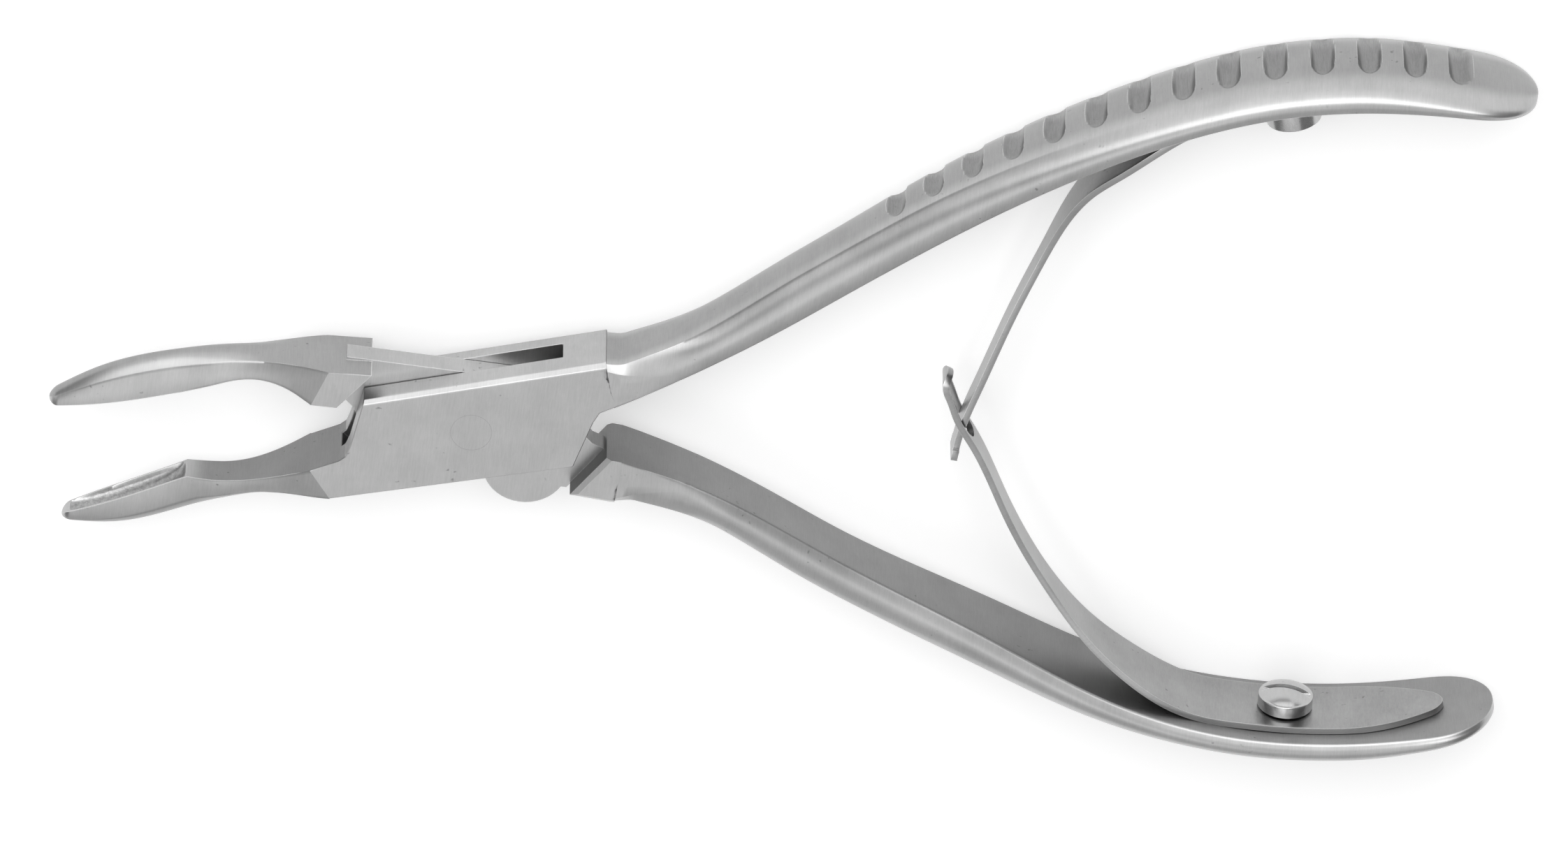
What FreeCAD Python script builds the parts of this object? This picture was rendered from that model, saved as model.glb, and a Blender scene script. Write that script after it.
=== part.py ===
import FreeCAD, Part
import Sketcher
import math
import os

# Bone rongeur, lying on its side: jaws towards -X, handles towards +X, pivot axis along Z.
# Each half is drawn as it lies with the jaws closed, with its long axis on X,
# and is then turned about the pivot by half of the opening angle.

Vector = FreeCAD.Vector

# Millimetres and degrees
sizes = {
    "opening_angle": 17.4,
    "box_thickness": 7.0,
    "far_wall": 1.93,
    "slot_width": 2.45,
    "slot_clearance": 0.05,
    "edge_chamfer": 0.45,
    "pin_diameter": 4.0,
    "pin_fit": 0.01,
    "pivot_clearance": 0.05,
    "lobe_radius": 4.2,
    "lobe_x": 6.0,
    "lobe_y": 4.65,
    "waist_width": 7.0,
    "paddle_width": 12.0,
    "flare_start": 35.0,
    "flare_end": 82.0,
    "neck_depth": 3.95,
    "neck_length": 5.0,
    "swell_end": 24.0,
    "upper_grip_depth": 4.8,
    "lower_grip_depth": 4.5,
    "paddle_depth": 3.4,
    "paddle_end_depth": 2.2,
    "paddle_end_length": 8.0,
    "edge_bevel": 0.35,
    "crown_drop": 0.7,
    "crease_share": 0.72,
    "blend_length": 13.0,
    "flank_blend_length": 9.0,
    "root_blend_length": 3.0,
    "thinning_start": 46.0,
    "thinning_end": 78.0,
    "end_thinning_start": 90.0,
    "end_thinning_end": 107.0,
    "end_edge_share": 0.3,
    "flute_radius": 1.2,
    "upper_flute_depth": 0.75,
    "lower_flute_depth": 0.5,
    "flute_tilt": 4.0,
    "flute_count": 14,
    "flute_start": 34.9,
    "flute_pitch": 4.28,
    "jaw_waist_width": 3.6,
    "cup_jaw_width": 3.1,
    "jaw_waist_share": 0.36,
    "jaw_swell_share": 0.55,
    "jaw_crown_share": 0.3,
    "jaw_taper_share": 0.6,
    "jaw_tip_narrowing": 0.75,
    "jaw_side_share": 0.7,
    "jaw_back_narrowing": 0.14,
    "cup_wall": 0.25,
    "cup_end_wall": 0.6,
    "cup_depth": 1.5,
    "cup_length": 13.5,
    "cup_nose_radius": 0.5,
    "blade_thickness": 0.65,
    "blade_seat_width": 7.6,
    "blade_seat_gap": 0.06,
    "upper_blade_end_gap": 9.6,
    "lower_blade_end_gap": 6.6,
    "blade_tail": 6.0,
    "blade_widening_start": 0.33,
    "blade_widening_end": 0.62,
    "upper_blade_lift": 9.5,
    "lower_blade_lift": 9.0,
    "screw_reach": 84.1,
    "screw_head_diameter": 5.4,
    "upper_screw_head_side": 2.3,
    "lower_screw_head_side": 1.25,
    "screw_dome": 1.0,
    "screw_slot_width": 0.7,
    "screw_slot_depth": 0.8,
    "screw_slot_turn": 9.0,
    "screw_shank_diameter": 2.2,
    "screw_grip_length": 2.4,
    "screw_hole_lead": 0.3,
    "screw_fit": 0.03,
    "screw_head_gap": 0.15,
    "blade_hole_clearance": 0.2,
    "upper_blade_width": 2.6,
    "lower_blade_width": 3.5,
    "eye_length": 7.2,
    "eye_width": 2.9,
    "eye_end_wall": 1.3,
    "hook_width": 3.3,
    "hook_start": 0.3,
    "hook_length": 1.1,
}

# Points of the outlines, as (x, y) pairs in the closed position. The lower half's
# handle and the upper half's handle are both drawn above the axis.
outlines = {
    "box": [(-9.8, 5.1), (13.6, 5.75), (14.2, 5.75), (14.2, 0.65), (12.74, 0.25), (11.92, -0.75),
            (9.17, -5.45), (-14.9, -5.45), (-16.3, -1.95), (-13.3, -1.3), (-12.6, -0.9),
            (-11.97, 0.15)],
    "slot": [(-9.8, 7.0), (-16.0, 7.0), (-16.0, 0.0), (-13.1, -1.1), (-12.2, -2.2),
             (-10.7, -4.2), (-9.4, -7.0), (16.0, -7.0), (16.0, -0.3), (12.3, -0.3),
             (11.3, 2.0), (9.9, 5.5), (9.9, 7.0)],
    "tongue": [(-13.0, 5.15), (7.5, 5.15), (9.0, 4.2), (10.6, 1.5), (11.4, -0.5),
               (12.1, -1.1), (13.6, -1.6), (13.6, -5.6), (10.7, -5.9), (10.3, -6.5),
               (2.4, -6.4), (-6.0, -5.5), (-9.2, -4.2), (-10.98, -1.63), (-11.55, -0.55),
               (-12.3, 0.12), (-13.3, 0.9)],
    "jaw_block": [(-10.5, 5.0), (-14.7, 4.7), (-15.9, 0.75), (-13.38, 0.82)],
    "grip_block": [(10.56, -5.9), (13.52, -1.12), (15.0, -1.2), (15.0, -6.1), (14.4, -6.1)],
    "upper_grip": [(24.0, 3.6), (38.0, 9.5), (54.0, 16.9), (68.0, 22.1),
                   (82.0, 24.75), (96.0, 23.4), (108.3, 20.0)],
    "lower_grip": [(24.0, 3.6), (38.0, 9.65), (54.0, 15.85), (66.0, 20.4),
                   (78.0, 22.45), (92.0, 21.1), (104.2, 17.6)],
    "upper_rim": [(-21.6, 1.85), (-27.6, -0.8), (-34.0, -2.9), (-40.5, -4.7)],
    "upper_back": [(-21.8, 4.55), (-29.2, 3.0), (-36.5, -0.1), (-41.1, -4.2)],
    "lower_rim": [(-17.9, -2.3), (-22.5, -2.95), (-28.2, -2.2), (-34.5, -3.35), (-41.2, -4.6)],
    "lower_back": [(-21.6, -5.35), (-28.6, -6.0), (-35.8, -6.85), (-41.45, -5.3)],
    "upper_blade_tip": [(46.7, -4.6)],
    "lower_blade_tip": [(45.9, 5.2)],
}

# Points of the blades between the free tip and the place where they leave the handle:
# the share of that straight distance, and the bow away from it towards the jaws.
blade_bows = {
    "upper": [(0.08, 1.18), (0.18, 2.06), (0.36, 3.48), (0.555, 4.6), (0.745, 4.59), (0.82, 3.45)],
    "lower": [(0.04, 1.15), (0.1, 1.86), (0.17, 2.51), (0.35, 3.94), (0.6, 5.05), (0.745, 4.58),
              (0.84, 3.53)],
}

# The corners of a plate's end face that a jaw or a handle carries on from: inner, then outer.
root_corners = {
    "upper_handle": ("box", "4", "3"),
    "lower_handle": ("grip_block", "3", "4"),
    "upper_jaw": ("jaw_block", "3", "2"),
    "lower_jaw": ("box", "9", "8"),
}


def write_sheet(doc):
    """Put every size and outline point in the sheet, each cell with its own name."""
    sheet = doc.addObject("Spreadsheet::Sheet", "sizes")
    rows = dict(sizes)
    for name, points in outlines.items():
        for number, (x, y) in enumerate(points, 1):
            rows[f"{name}_x{number}"] = x
            rows[f"{name}_y{number}"] = y
    for row, (alias, value) in enumerate(rows.items(), 1):
        sheet.set(f"A{row}", alias)
        sheet.set(f"B{row}", str(value))
        sheet.setAlias(f"B{row}", alias)
    doc.recompute()
    return sheet


def outline_points(sheet, name, flip=1):
    """The outline's points as vectors, read from the sheet."""
    points = []
    for number in range(1, len(outlines[name]) + 1):
        x = sheet.get(f"{name}_x{number}")
        y = sheet.get(f"{name}_y{number}")
        points.append(Vector(x, flip * y, 0))
    return points


def root_corner(sheet, name, side):
    """The inner (0) or outer (1) corner that the named jaw or handle starts from."""
    plate, *numbers = root_corners[name]
    return Vector(sheet.get(f"{plate}_x{numbers[side]}"), sheet.get(f"{plate}_y{numbers[side]}"), 0)


def smooth_curve(points):
    """One smooth curve through the points."""
    places = [0.0]
    for start, end in zip(points, points[1:]):
        places.append(places[-1] + start.distanceToPoint(end))
    curve = Part.BSplineCurve()
    curve.interpolate(Points=points, Parameters=places)
    return curve


def point_at_share(curve, share):
    """The point and the unit tangent at a share of the curve's length."""
    along = share * curve.length()
    parameter = curve.parameterAtDistance(along, curve.FirstParameter)
    return curve.value(parameter), curve.tangent(parameter)[0]


def step(value, start, end):
    """0 before start, 1 after end, and smooth between them."""
    share = min(max((value - start) / (end - start), 0.0), 1.0)
    return share * share * (3 - 2 * share)


def place_sketch(body, name):
    """A sketch on the body's own XY plane."""
    sketch = body.newObject("Sketcher::SketchObject", name)
    planes = [item for item in body.Origin.OriginFeatures if item.Role == "XY_Plane"]
    sketch.AttachmentSupport = [(planes[0], "")]
    sketch.MapMode = "FlatFace"
    return sketch


def tie_point(sketch, geometry, end, x, y, x_name, y_name):
    """Hold one end of a sketch line at the place that two cells give."""
    for kind, value, cell in (("DistanceX", x, x_name), ("DistanceY", y, y_name)):
        if value >= 0:
            rule = Sketcher.Constraint(kind, -1, 1, geometry, end, value)
            formula = f"sizes.{cell}"
        else:
            rule = Sketcher.Constraint(kind, geometry, end, -1, 1, -value)
            formula = f"-sizes.{cell}"
        index = sketch.addConstraint(rule)
        sketch.setExpression(f"Constraints[{index}]", formula)


def polygon_pad(doc, sheet, name, length):
    """A body whose straight-sided sketch follows the outline of the same name."""
    body = doc.addObject("PartDesign::Body", f"{name}_plate")
    sketch = place_sketch(body, f"{name}_outline")
    points = outline_points(sheet, name)
    count = len(points)
    for index in range(count):
        sketch.addGeometry(Part.LineSegment(points[index], points[(index + 1) % count]), False)
    for index in range(count):
        sketch.addConstraint(
            Sketcher.Constraint("Coincident", index, 2, (index + 1) % count, 1))
    for index, point in enumerate(points):
        number = index + 1
        tie_point(sketch, index, 1, point.x, point.y, f"{name}_x{number}", f"{name}_y{number}")
    pad = body.newObject("PartDesign::Pad", f"{name}_pad")
    pad.Profile = sketch
    pad.setExpression("Length", length)
    sketch.Visibility = False
    return body, pad


def chamfer_sides(body, pad, points, sides):
    """Bevel the pad's edges along the given sides of its outline, on both faces."""
    names = []
    for number, edge in enumerate(pad.Shape.Edges, 1):
        low, high = edge.BoundBox.ZMin, edge.BoundBox.ZMax
        if high - low > 0.001:
            continue
        middle = edge.CenterOfMass
        for side in sides:
            centre = (points[side] + points[(side + 1) % len(points)]) * 0.5
            if math.hypot(middle.x - centre.x, middle.y - centre.y) < 0.01:
                names.append(f"Edge{number}")
    bevel = body.newObject("PartDesign::Chamfer", f"{pad.Name}_bevel")
    bevel.Base = (pad, names)
    bevel.setExpression("Size", "sizes.edge_chamfer")
    body.Tip = bevel
    return bevel


def bent_edge(start, pole, end):
    """A smooth edge from start to end, drawn towards the pole."""
    curve = Part.BezierCurve()
    curve.setPoles([start, pole, end])
    return curve.toShape()


def jaw_section(inner, outer, half, narrow, side_share, centre):
    """A jaw's section: flat rim, flat sides that lean inwards and a crowned back."""
    span = outer - inner
    depth = span.Length
    outward = span * (1 / depth)

    def at(height, side):
        return inner + outward * height + Vector(0, 0, centre + side)

    crease = depth * side_share
    crown = 2 * depth - crease
    edges = [Part.makeLine(at(0, -half), at(0, half)),
             Part.makeLine(at(0, half), at(crease, narrow)),
             bent_edge(at(crease, narrow), at(crown, 0), at(crease, -narrow)),
             Part.makeLine(at(crease, -narrow), at(0, -half))]
    return Part.Wire(edges)


def jaw_loft(doc, sheet, word):
    """One jaw, from the plate's end face to the rounded tip."""
    get = sheet.get
    name = f"{word}_jaw"
    rim_curve = smooth_curve([root_corner(sheet, name, 0)] + outline_points(sheet, f"{word}_rim"))
    back_curve = smooth_curve([root_corner(sheet, name, 1)] + outline_points(sheet, f"{word}_back"))
    root = get("box_thickness") / 2
    waist = get("jaw_waist_width") / 2
    cup = get("cup_jaw_width") / 2
    thinnest, swollen = get("jaw_waist_share"), get("jaw_swell_share")
    taper_start = get("jaw_taper_share")
    sections = []
    for share in (0.0, 0.14, 0.36, 0.58, 0.8, 0.94, 1.0):
        inner = point_at_share(rim_curve, share)[0]
        outer = point_at_share(back_curve, share)[0]
        half = root + (waist - root) * math.sin(min(share / thinnest, 1) * math.pi / 2)
        half = half + (cup - waist) * step(share, thinnest, swollen)
        taper = max(share - taper_start, 0) / (1 - taper_start)
        half = half * (1 - get("jaw_tip_narrowing") * taper ** 4)
        crowned = step(share, 0.0, get("jaw_crown_share"))
        narrow = half * (1 - get("jaw_back_narrowing") * crowned)
        side_share = 1 - (1 - get("jaw_side_share")) * crowned
        sections.append(jaw_section(inner, outer, half, narrow, side_share, root))
    loft = doc.addObject("Part::Feature", name)
    loft.Shape = Part.makeLoft(sections, True, False, False, 3)
    return loft


def grip_section(foot, outward, shape, centre):
    """A handle's section: flat inside, bevelled edges, leaning flanks and a crowned back."""
    depth, half, flank = shape["depth"], shape["half"], shape["flank"]
    edge, drop, crease = shape["edge"], shape["drop"], shape["crease"]

    def at(height, side):
        return foot + outward * height + Vector(0, 0, centre + side)

    shoulder = depth - drop
    edges = [Part.makeLine(at(0, edge - half), at(0, half - edge)),
             Part.makeLine(at(0, half - edge), at(flank, half)),
             Part.makeLine(at(flank, half), at(shoulder, crease)),
             bent_edge(at(shoulder, crease), at(depth + drop, 0), at(shoulder, -crease)),
             Part.makeLine(at(shoulder, -crease), at(flank, -half)),
             Part.makeLine(at(flank, -half), at(0, edge - half))]
    return Part.Wire(edges)


def grip_curve(sheet, word, flip):
    """The line of the handle's inner face, from the plate's end face to the paddle's end."""
    start = root_corner(sheet, f"{word}_handle", 0)
    return smooth_curve([start] + outline_points(sheet, f"{word}_grip", flip))


def grip_depth(sheet, word, place, reach):
    """The handle's depth from its inner face to its crown, at a place along it."""
    get = sheet.get
    name = f"{word}_handle"
    root = root_corner(sheet, name, 0).distanceToPoint(root_corner(sheet, name, 1))
    neck, grip = get("neck_depth"), get(f"{word}_grip_depth")
    paddle, end = get("paddle_depth"), get("paddle_end_depth")
    depth = neck + (grip - neck) * step(place, get("neck_length"), get("swell_end"))
    depth = depth + (paddle - grip) * step(reach, get("thinning_start"), get("thinning_end"))
    depth = depth + (end - paddle) * step(reach, get("end_thinning_start"), get("end_thinning_end"))
    return root + (depth - root) * step(place, 0, get("root_blend_length"))


def grip_shape(sheet, word, place, reach):
    """The sizes of the handle's section at a place along it."""
    get = sheet.get
    blend = step(place, 0, get("blend_length"))
    flare = step(reach, get("flare_start"), get("flare_end"))
    depth = grip_depth(sheet, word, place, reach)
    half = (get("waist_width") + (get("paddle_width") - get("waist_width")) * flare) / 2
    flank = depth - get("edge_chamfer")
    crease = half - get("edge_chamfer")
    return {
        "depth": depth,
        "half": half,
        "flank": flank + (get("edge_bevel") - flank) * step(place, 0, get("flank_blend_length")),
        "edge": get("edge_bevel") * blend,
        "drop": get("crown_drop") * blend,
        "crease": crease + (half * get("crease_share") - crease) * blend,
    }


def rounded_off(shape, share, least):
    """The section's sizes inside the paddle's rounded end; share is 1 where it starts."""
    ended = dict(shape)
    for name in ("half", "crease", "drop"):
        ended[name] = shape[name] * share
    for name in ("depth", "flank"):
        ended[name] = shape[name] * (least + (1 - least) * share)
    ended["edge"] = min(shape["edge"], ended["half"] / 2)
    return ended


def grip_loft(doc, sheet, curve, flip, word):
    """One handle, from the plate's end face to the rounded end of its paddle."""
    length = curve.length()
    end_length = sheet.get("paddle_end_length")
    body = length - end_length
    places = [(body * share, 1.0)
              for share in (0, 0.04, 0.1, 0.19, 0.33, 0.48, 0.62, 0.76, 0.88, 1)]
    for degrees in (45, 80):
        angle = math.radians(degrees)
        places.append((body + end_length * math.sin(angle), math.cos(angle)))
    sections = []
    for place, share in places:
        foot, tangent = point_at_share(curve, place / length)
        outward = Vector(-flip * tangent.y, flip * tangent.x, 0)
        if place == 0:
            outward = Vector(0, flip, 0)
        shape = grip_shape(sheet, word, place, foot.x)
        ended = rounded_off(shape, share, sheet.get("end_edge_share"))
        sections.append(grip_section(foot, outward, ended, sheet.get("box_thickness") / 2))
    loft = doc.addObject("Part::Feature", f"{word}_handle")
    loft.Shape = Part.makeLoft(sections, True, False, False, 3)
    return loft


def fuse(doc, name, shapes):
    """One solid out of several document objects."""
    joined = doc.addObject("Part::MultiFuse", name)
    joined.Shapes = shapes
    joined.Refine = False
    return joined


def cut(doc, name, base, tool):
    """The base less the tool."""
    result = doc.addObject("Part::Cut", name)
    result.Base = base
    result.Tool = tool
    return result


def cylinder(doc, name, radius, height, centre, base):
    """A round bar along Z; radius and height are formulas, centre and base are numbers."""
    bar = doc.addObject("Part::Cylinder", name)
    bar.setExpression("Radius", radius)
    bar.setExpression("Height", height)
    bar.Placement.Base = Vector(centre.x, centre.y, base)
    return bar


def flute_cutters(doc, sheet, curve, word, flip):
    """The row of round grooves across the back of a handle."""
    get = sheet.get
    cutters = []
    length = curve.length()
    reach = get("paddle_width") / 2 + 1
    for number in range(int(get("flute_count"))):
        place = get("flute_start") + number * get("flute_pitch")
        foot, tangent = point_at_share(curve, place / length)
        outward = Vector(-tangent.y, tangent.x, 0) * flip
        depth = grip_depth(sheet, word, place, foot.x)
        axis = foot + outward * (depth - get(f"{word}_flute_depth") + get("flute_radius"))
        cutter = cylinder(doc, f"{word}_flute_{number + 1}", "sizes.flute_radius",
                          "sizes.paddle_width + 2", axis, get("box_thickness") / 2 - reach)
        lean = FreeCAD.Rotation(tangent * flip, -get("flute_tilt"))
        cutter.Placement = FreeCAD.Placement(
            Vector(axis.x, axis.y, get("box_thickness") / 2) - lean.multVec(Vector(0, 0, reach)), lean)
        cutters.append(cutter)
    return cutters


def cup_cutter(doc, sheet, word, flip):
    """The long hollow of a jaw's cup: a cone with a ball at its heel, sunk into the rim."""
    get = sheet.get
    curve = smooth_curve([root_corner(sheet, f"{word}_jaw", 0)] + outline_points(sheet, f"{word}_rim"))
    half = get("cup_length") / 2
    radius = get("cup_jaw_width") / 2 - get("cup_wall")
    middle, tangent = point_at_share(curve, 1 - (half + get("cup_end_wall")) / curve.length())
    into = Vector(-tangent.y, tangent.x, 0) * -flip
    centre = middle + into * (get("cup_depth") - radius) + Vector(0, 0, get("box_thickness") / 2)
    upright = FreeCAD.Rotation(Vector(0, 0, 1), tangent)
    heel = doc.addObject("Part::Sphere", f"{word}_cup_heel")
    heel.setExpression("Radius", "sizes.cup_jaw_width / 2 - sizes.cup_wall")
    heel.Placement = FreeCAD.Placement(centre - tangent * (half - radius), upright)
    cone = doc.addObject("Part::Cone", f"{word}_cup_cone")
    cone.setExpression("Radius1", "sizes.cup_jaw_width / 2 - sizes.cup_wall")
    cone.setExpression("Radius2", "sizes.cup_nose_radius")
    cone.setExpression("Height", "sizes.cup_length - sizes.cup_jaw_width / 2 + sizes.cup_wall")
    cone.Placement = heel.Placement
    return fuse(doc, f"{word}_cup", [heel, cone])


def turn(vector, degrees):
    """The vector turned about the pivot axis."""
    angle = math.radians(degrees)
    return Vector(vector.x * math.cos(angle) - vector.y * math.sin(angle),
                  vector.x * math.sin(angle) + vector.y * math.cos(angle), 0)


def share_at_reach(curve, reach):
    """The share of the curve's length at which it comes to the given x."""
    low, high = 0.0, 1.0
    for _ in range(40):
        middle = (low + high) / 2
        if point_at_share(curve, middle)[0].x < reach:
            low = middle
        else:
            high = middle
    return low


def blade_line(sheet, curve, seat, word, side, turned):
    """The blade's handle-side line, from its free tip to its end past the screw."""
    get = sheet.get
    lift = get(f"{word}_blade_lift") / curve.length()
    end = 1 - get(f"{word}_blade_end_gap") / curve.length()
    resting = []
    for share in (seat - lift, seat - lift / 2, seat, (seat + end) / 2, end):
        foot, tangent = point_at_share(curve, share)
        inward = Vector(tangent.y, -tangent.x, 0) * side
        resting.append(turn(foot + inward * get("blade_seat_gap"), turned))
    tip = outline_points(sheet, f"{word}_blade_tip")[0]
    reach = resting[0] - tip
    bow = Vector(-reach.y, reach.x, 0).normalize() * side
    free = [tip + reach * share + bow * height for share, height in blade_bows[word]]
    return smooth_curve([tip] + free + resting)


def blade_corners(line, place, side, half, thickness, centre):
    """The four corners of a blade's section at a place along its handle-side line."""
    point, tangent = point_at_share(line, place / line.length())
    low, high = Vector(0, 0, centre - half), Vector(0, 0, centre + half)
    through = Vector(tangent.y, -tangent.x, 0) * side * thickness
    return [point + low, point + high, point + high + through, point + low + through]


def ribbon_solid(sections):
    """A closed strip whose four long edges run smoothly through the sections' corners."""
    edges = [smooth_curve([corners[number] for corners in sections]).toShape()
             for number in range(4)]
    faces = [Part.makeRuledSurface(edges[number], edges[(number + 1) % 4])
             for number in range(4)]
    for corners in (sections[0], sections[-1]):
        faces.append(Part.Face(Part.makePolygon(corners + [corners[0]])))
    shell = Part.makeShell(faces)
    shell.sewShape()
    solid = Part.makeSolid(shell)
    return solid if solid.Volume > 0 else solid.reversed()


def blade_strip(doc, sheet, word, line, side):
    """A spring blade: narrow at its rounded tip, full width at the screw, rounded at its end."""
    get = sheet.get
    length = line.length()
    tip_half = get(f"{word}_blade_width") / 2
    seat_half = get("blade_seat_width") / 2
    tail = get("blade_tail")
    angles = [math.radians(angle) for angle in (12, 30, 50, 70, 90)]
    tips = [tip_half * (1 - math.cos(angle)) for angle in angles]
    tails = [length - tail * (1 - math.cos(angle)) for angle in reversed(angles)]
    middles = [length * share for share in (0.08, 0.14, 0.2, 0.27, 0.34, 0.41, 0.48, 0.55, 0.63, 0.72)]
    sections = []
    for place in tips + middles + tails:
        widening = step(place / length, get("blade_widening_start"), get("blade_widening_end"))
        half = tip_half + (seat_half - tip_half) * widening
        to_tip = max(1 - place / tip_half, 0)
        to_tail = max(1 - (length - place) / tail, 0)
        half = half * math.sqrt(1 - to_tip ** 2) * math.sqrt(1 - to_tail ** 2)
        sections.append(blade_corners(line, place, side, half, get("blade_thickness"),
                                      get("box_thickness") / 2))
    blade = doc.addObject("Part::Feature", f"{word}_blade")
    blade.Shape = ribbon_solid(sections)
    return blade


def eye_cutter(doc, sheet, line, side):
    """The long eye near the lower blade's tip, cut square through the blade."""
    get = sheet.get
    middle = get("eye_end_wall") + get("eye_length") / 2
    point, tangent = point_at_share(line, middle / line.length())
    normal = Vector(tangent.y, -tangent.x, 0) * side
    half = get("eye_width") / 2
    straight = get("eye_length") / 2 - half
    centre = Vector(point.x, point.y, get("box_thickness") / 2) - normal * 2
    across = Vector(0, 0, half)
    corners = [centre + tangent * straight + across, centre - tangent * straight + across,
               centre - tangent * straight - across, centre + tangent * straight - across]
    far_left = centre - tangent * (straight + half)
    far_right = centre + tangent * (straight + half)
    edges = [Part.makeLine(corners[0], corners[1]),
             Part.Arc(corners[1], far_left, corners[2]).toShape(),
             Part.makeLine(corners[2], corners[3]),
             Part.Arc(corners[3], far_right, corners[0]).toShape()]
    eye = doc.addObject("Part::Feature", "lower_blade_eye")
    eye.Shape = Part.Face(Part.Wire(edges)).extrude(normal * 4)
    return eye


def hook(doc, sheet, line, side):
    """The wide end of the upper blade that keeps it in the lower blade's eye."""
    get = sheet.get
    sections = [blade_corners(line, place, side, get("hook_width") / 2, get("blade_thickness"),
                              get("box_thickness") / 2)
                for place in (get("hook_start"), get("hook_start") + get("hook_length"))]
    end = doc.addObject("Part::Feature", "upper_blade_hook")
    end.Shape = ribbon_solid(sections)
    return end


def screw_piece(doc, word, placement):
    """A slotted screw with a domed head and a plain shank; its head seat is its own z = 0."""
    side = f"sizes.{word}_screw_head_side"
    head = cylinder(doc, f"{word}_screw_head", "sizes.screw_head_diameter / 2",
                    f"{side} + sizes.screw_dome", Vector(0, 0, 0), 0)
    ball = doc.addObject("Part::Sphere", f"{word}_screw_dome")
    radius = "(sizes.screw_head_diameter ^ 2 / 4 + sizes.screw_dome ^ 2) / (2 * sizes.screw_dome)"
    ball.setExpression("Radius", radius)
    ball.setExpression("Placement.Base.z", f"{side} + sizes.screw_dome - {radius}")
    domed = doc.addObject("Part::Common", f"{word}_screw_domed_head")
    domed.Base = head
    domed.Tool = ball
    shank = cylinder(doc, f"{word}_screw_shank", "sizes.screw_shank_diameter / 2",
                     "sizes.screw_grip_length", Vector(0, 0, 0), 0)
    shank.setExpression("Placement.Base.z", "-sizes.screw_grip_length")
    slot = doc.addObject("Part::Box", f"{word}_screw_slot")
    slot.setExpression("Length", "sizes.screw_head_diameter + 2")
    slot.setExpression("Width", "sizes.screw_slot_width")
    slot.setExpression("Height", "sizes.screw_slot_depth + 1")
    slot.setExpression("Placement.Base.x", "-sizes.screw_head_diameter / 2 - 1")
    slot.setExpression("Placement.Base.y", "-sizes.screw_slot_width / 2")
    slot.setExpression("Placement.Base.z", f"{side} + sizes.screw_dome - sizes.screw_slot_depth")
    screw = cut(doc, f"{word}_spring_screw", fuse(doc, f"{word}_screw_blank", [domed, shank]), slot)
    screw.Placement = placement
    return screw


def box_half_shapes(doc, sheet, curve):
    """Lower jaw, box and upper handle, and what is cut out of them."""
    box, box_pad = polygon_pad(doc, sheet, "box", "sizes.box_thickness")
    doc.recompute()
    chamfer_sides(box, box_pad, outline_points(sheet, "box"), [0, 1])
    blank = fuse(doc, "box_half_blank", [box, jaw_loft(doc, sheet, "lower"),
                                         grip_loft(doc, sheet, curve, 1, "upper")])
    slot, _ = polygon_pad(doc, sheet, "slot", "sizes.slot_width")
    slot.setExpression("Placement.Base.z", "sizes.far_wall")
    bore = cylinder(doc, "box_pin_bore", "sizes.pin_diameter / 2 + sizes.pin_fit",
                    "sizes.box_thickness + 2", Vector(0, 0, 0), -1)
    cutters = [slot, bore, cup_cutter(doc, sheet, "lower", -1)]
    return blank, cutters + flute_cutters(doc, sheet, curve, "upper", 1)


def tongue_half_shapes(doc, sheet, curve):
    """Upper jaw, tongue and lower handle, and what is cut out of them."""
    thickness = "sizes.slot_width - 2 * sizes.slot_clearance"
    height = "sizes.far_wall + sizes.slot_clearance"
    tongue, _ = polygon_pad(doc, sheet, "tongue", thickness)
    lobe = cylinder(doc, "tongue_lobe", "sizes.lobe_radius", thickness, Vector(0, 0, 0), 0)
    lobe.setExpression("Placement.Base.x", "sizes.lobe_x")
    lobe.setExpression("Placement.Base.y", "-sizes.lobe_y")
    for plate in (tongue, lobe):
        plate.setExpression("Placement.Base.z", height)
    jaw_block, _ = polygon_pad(doc, sheet, "jaw_block", "sizes.box_thickness")
    grip_block, grip_pad = polygon_pad(doc, sheet, "grip_block", "sizes.box_thickness")
    doc.recompute()
    chamfer_sides(grip_block, grip_pad, outline_points(sheet, "grip_block"), [0, 3, 4])
    blank = fuse(doc, "tongue_half_blank", [tongue, lobe, jaw_block, grip_block,
                                            jaw_loft(doc, sheet, "upper"),
                                            grip_loft(doc, sheet, curve, -1, "lower")])
    bore = cylinder(doc, "tongue_pin_bore", "sizes.pin_diameter / 2 + sizes.pivot_clearance",
                    "sizes.box_thickness + 2", Vector(0, 0, 0), -1)
    cutters = [bore, cup_cutter(doc, sheet, "upper", 1)]
    return blank, cutters + flute_cutters(doc, sheet, curve, "lower", -1)


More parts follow.
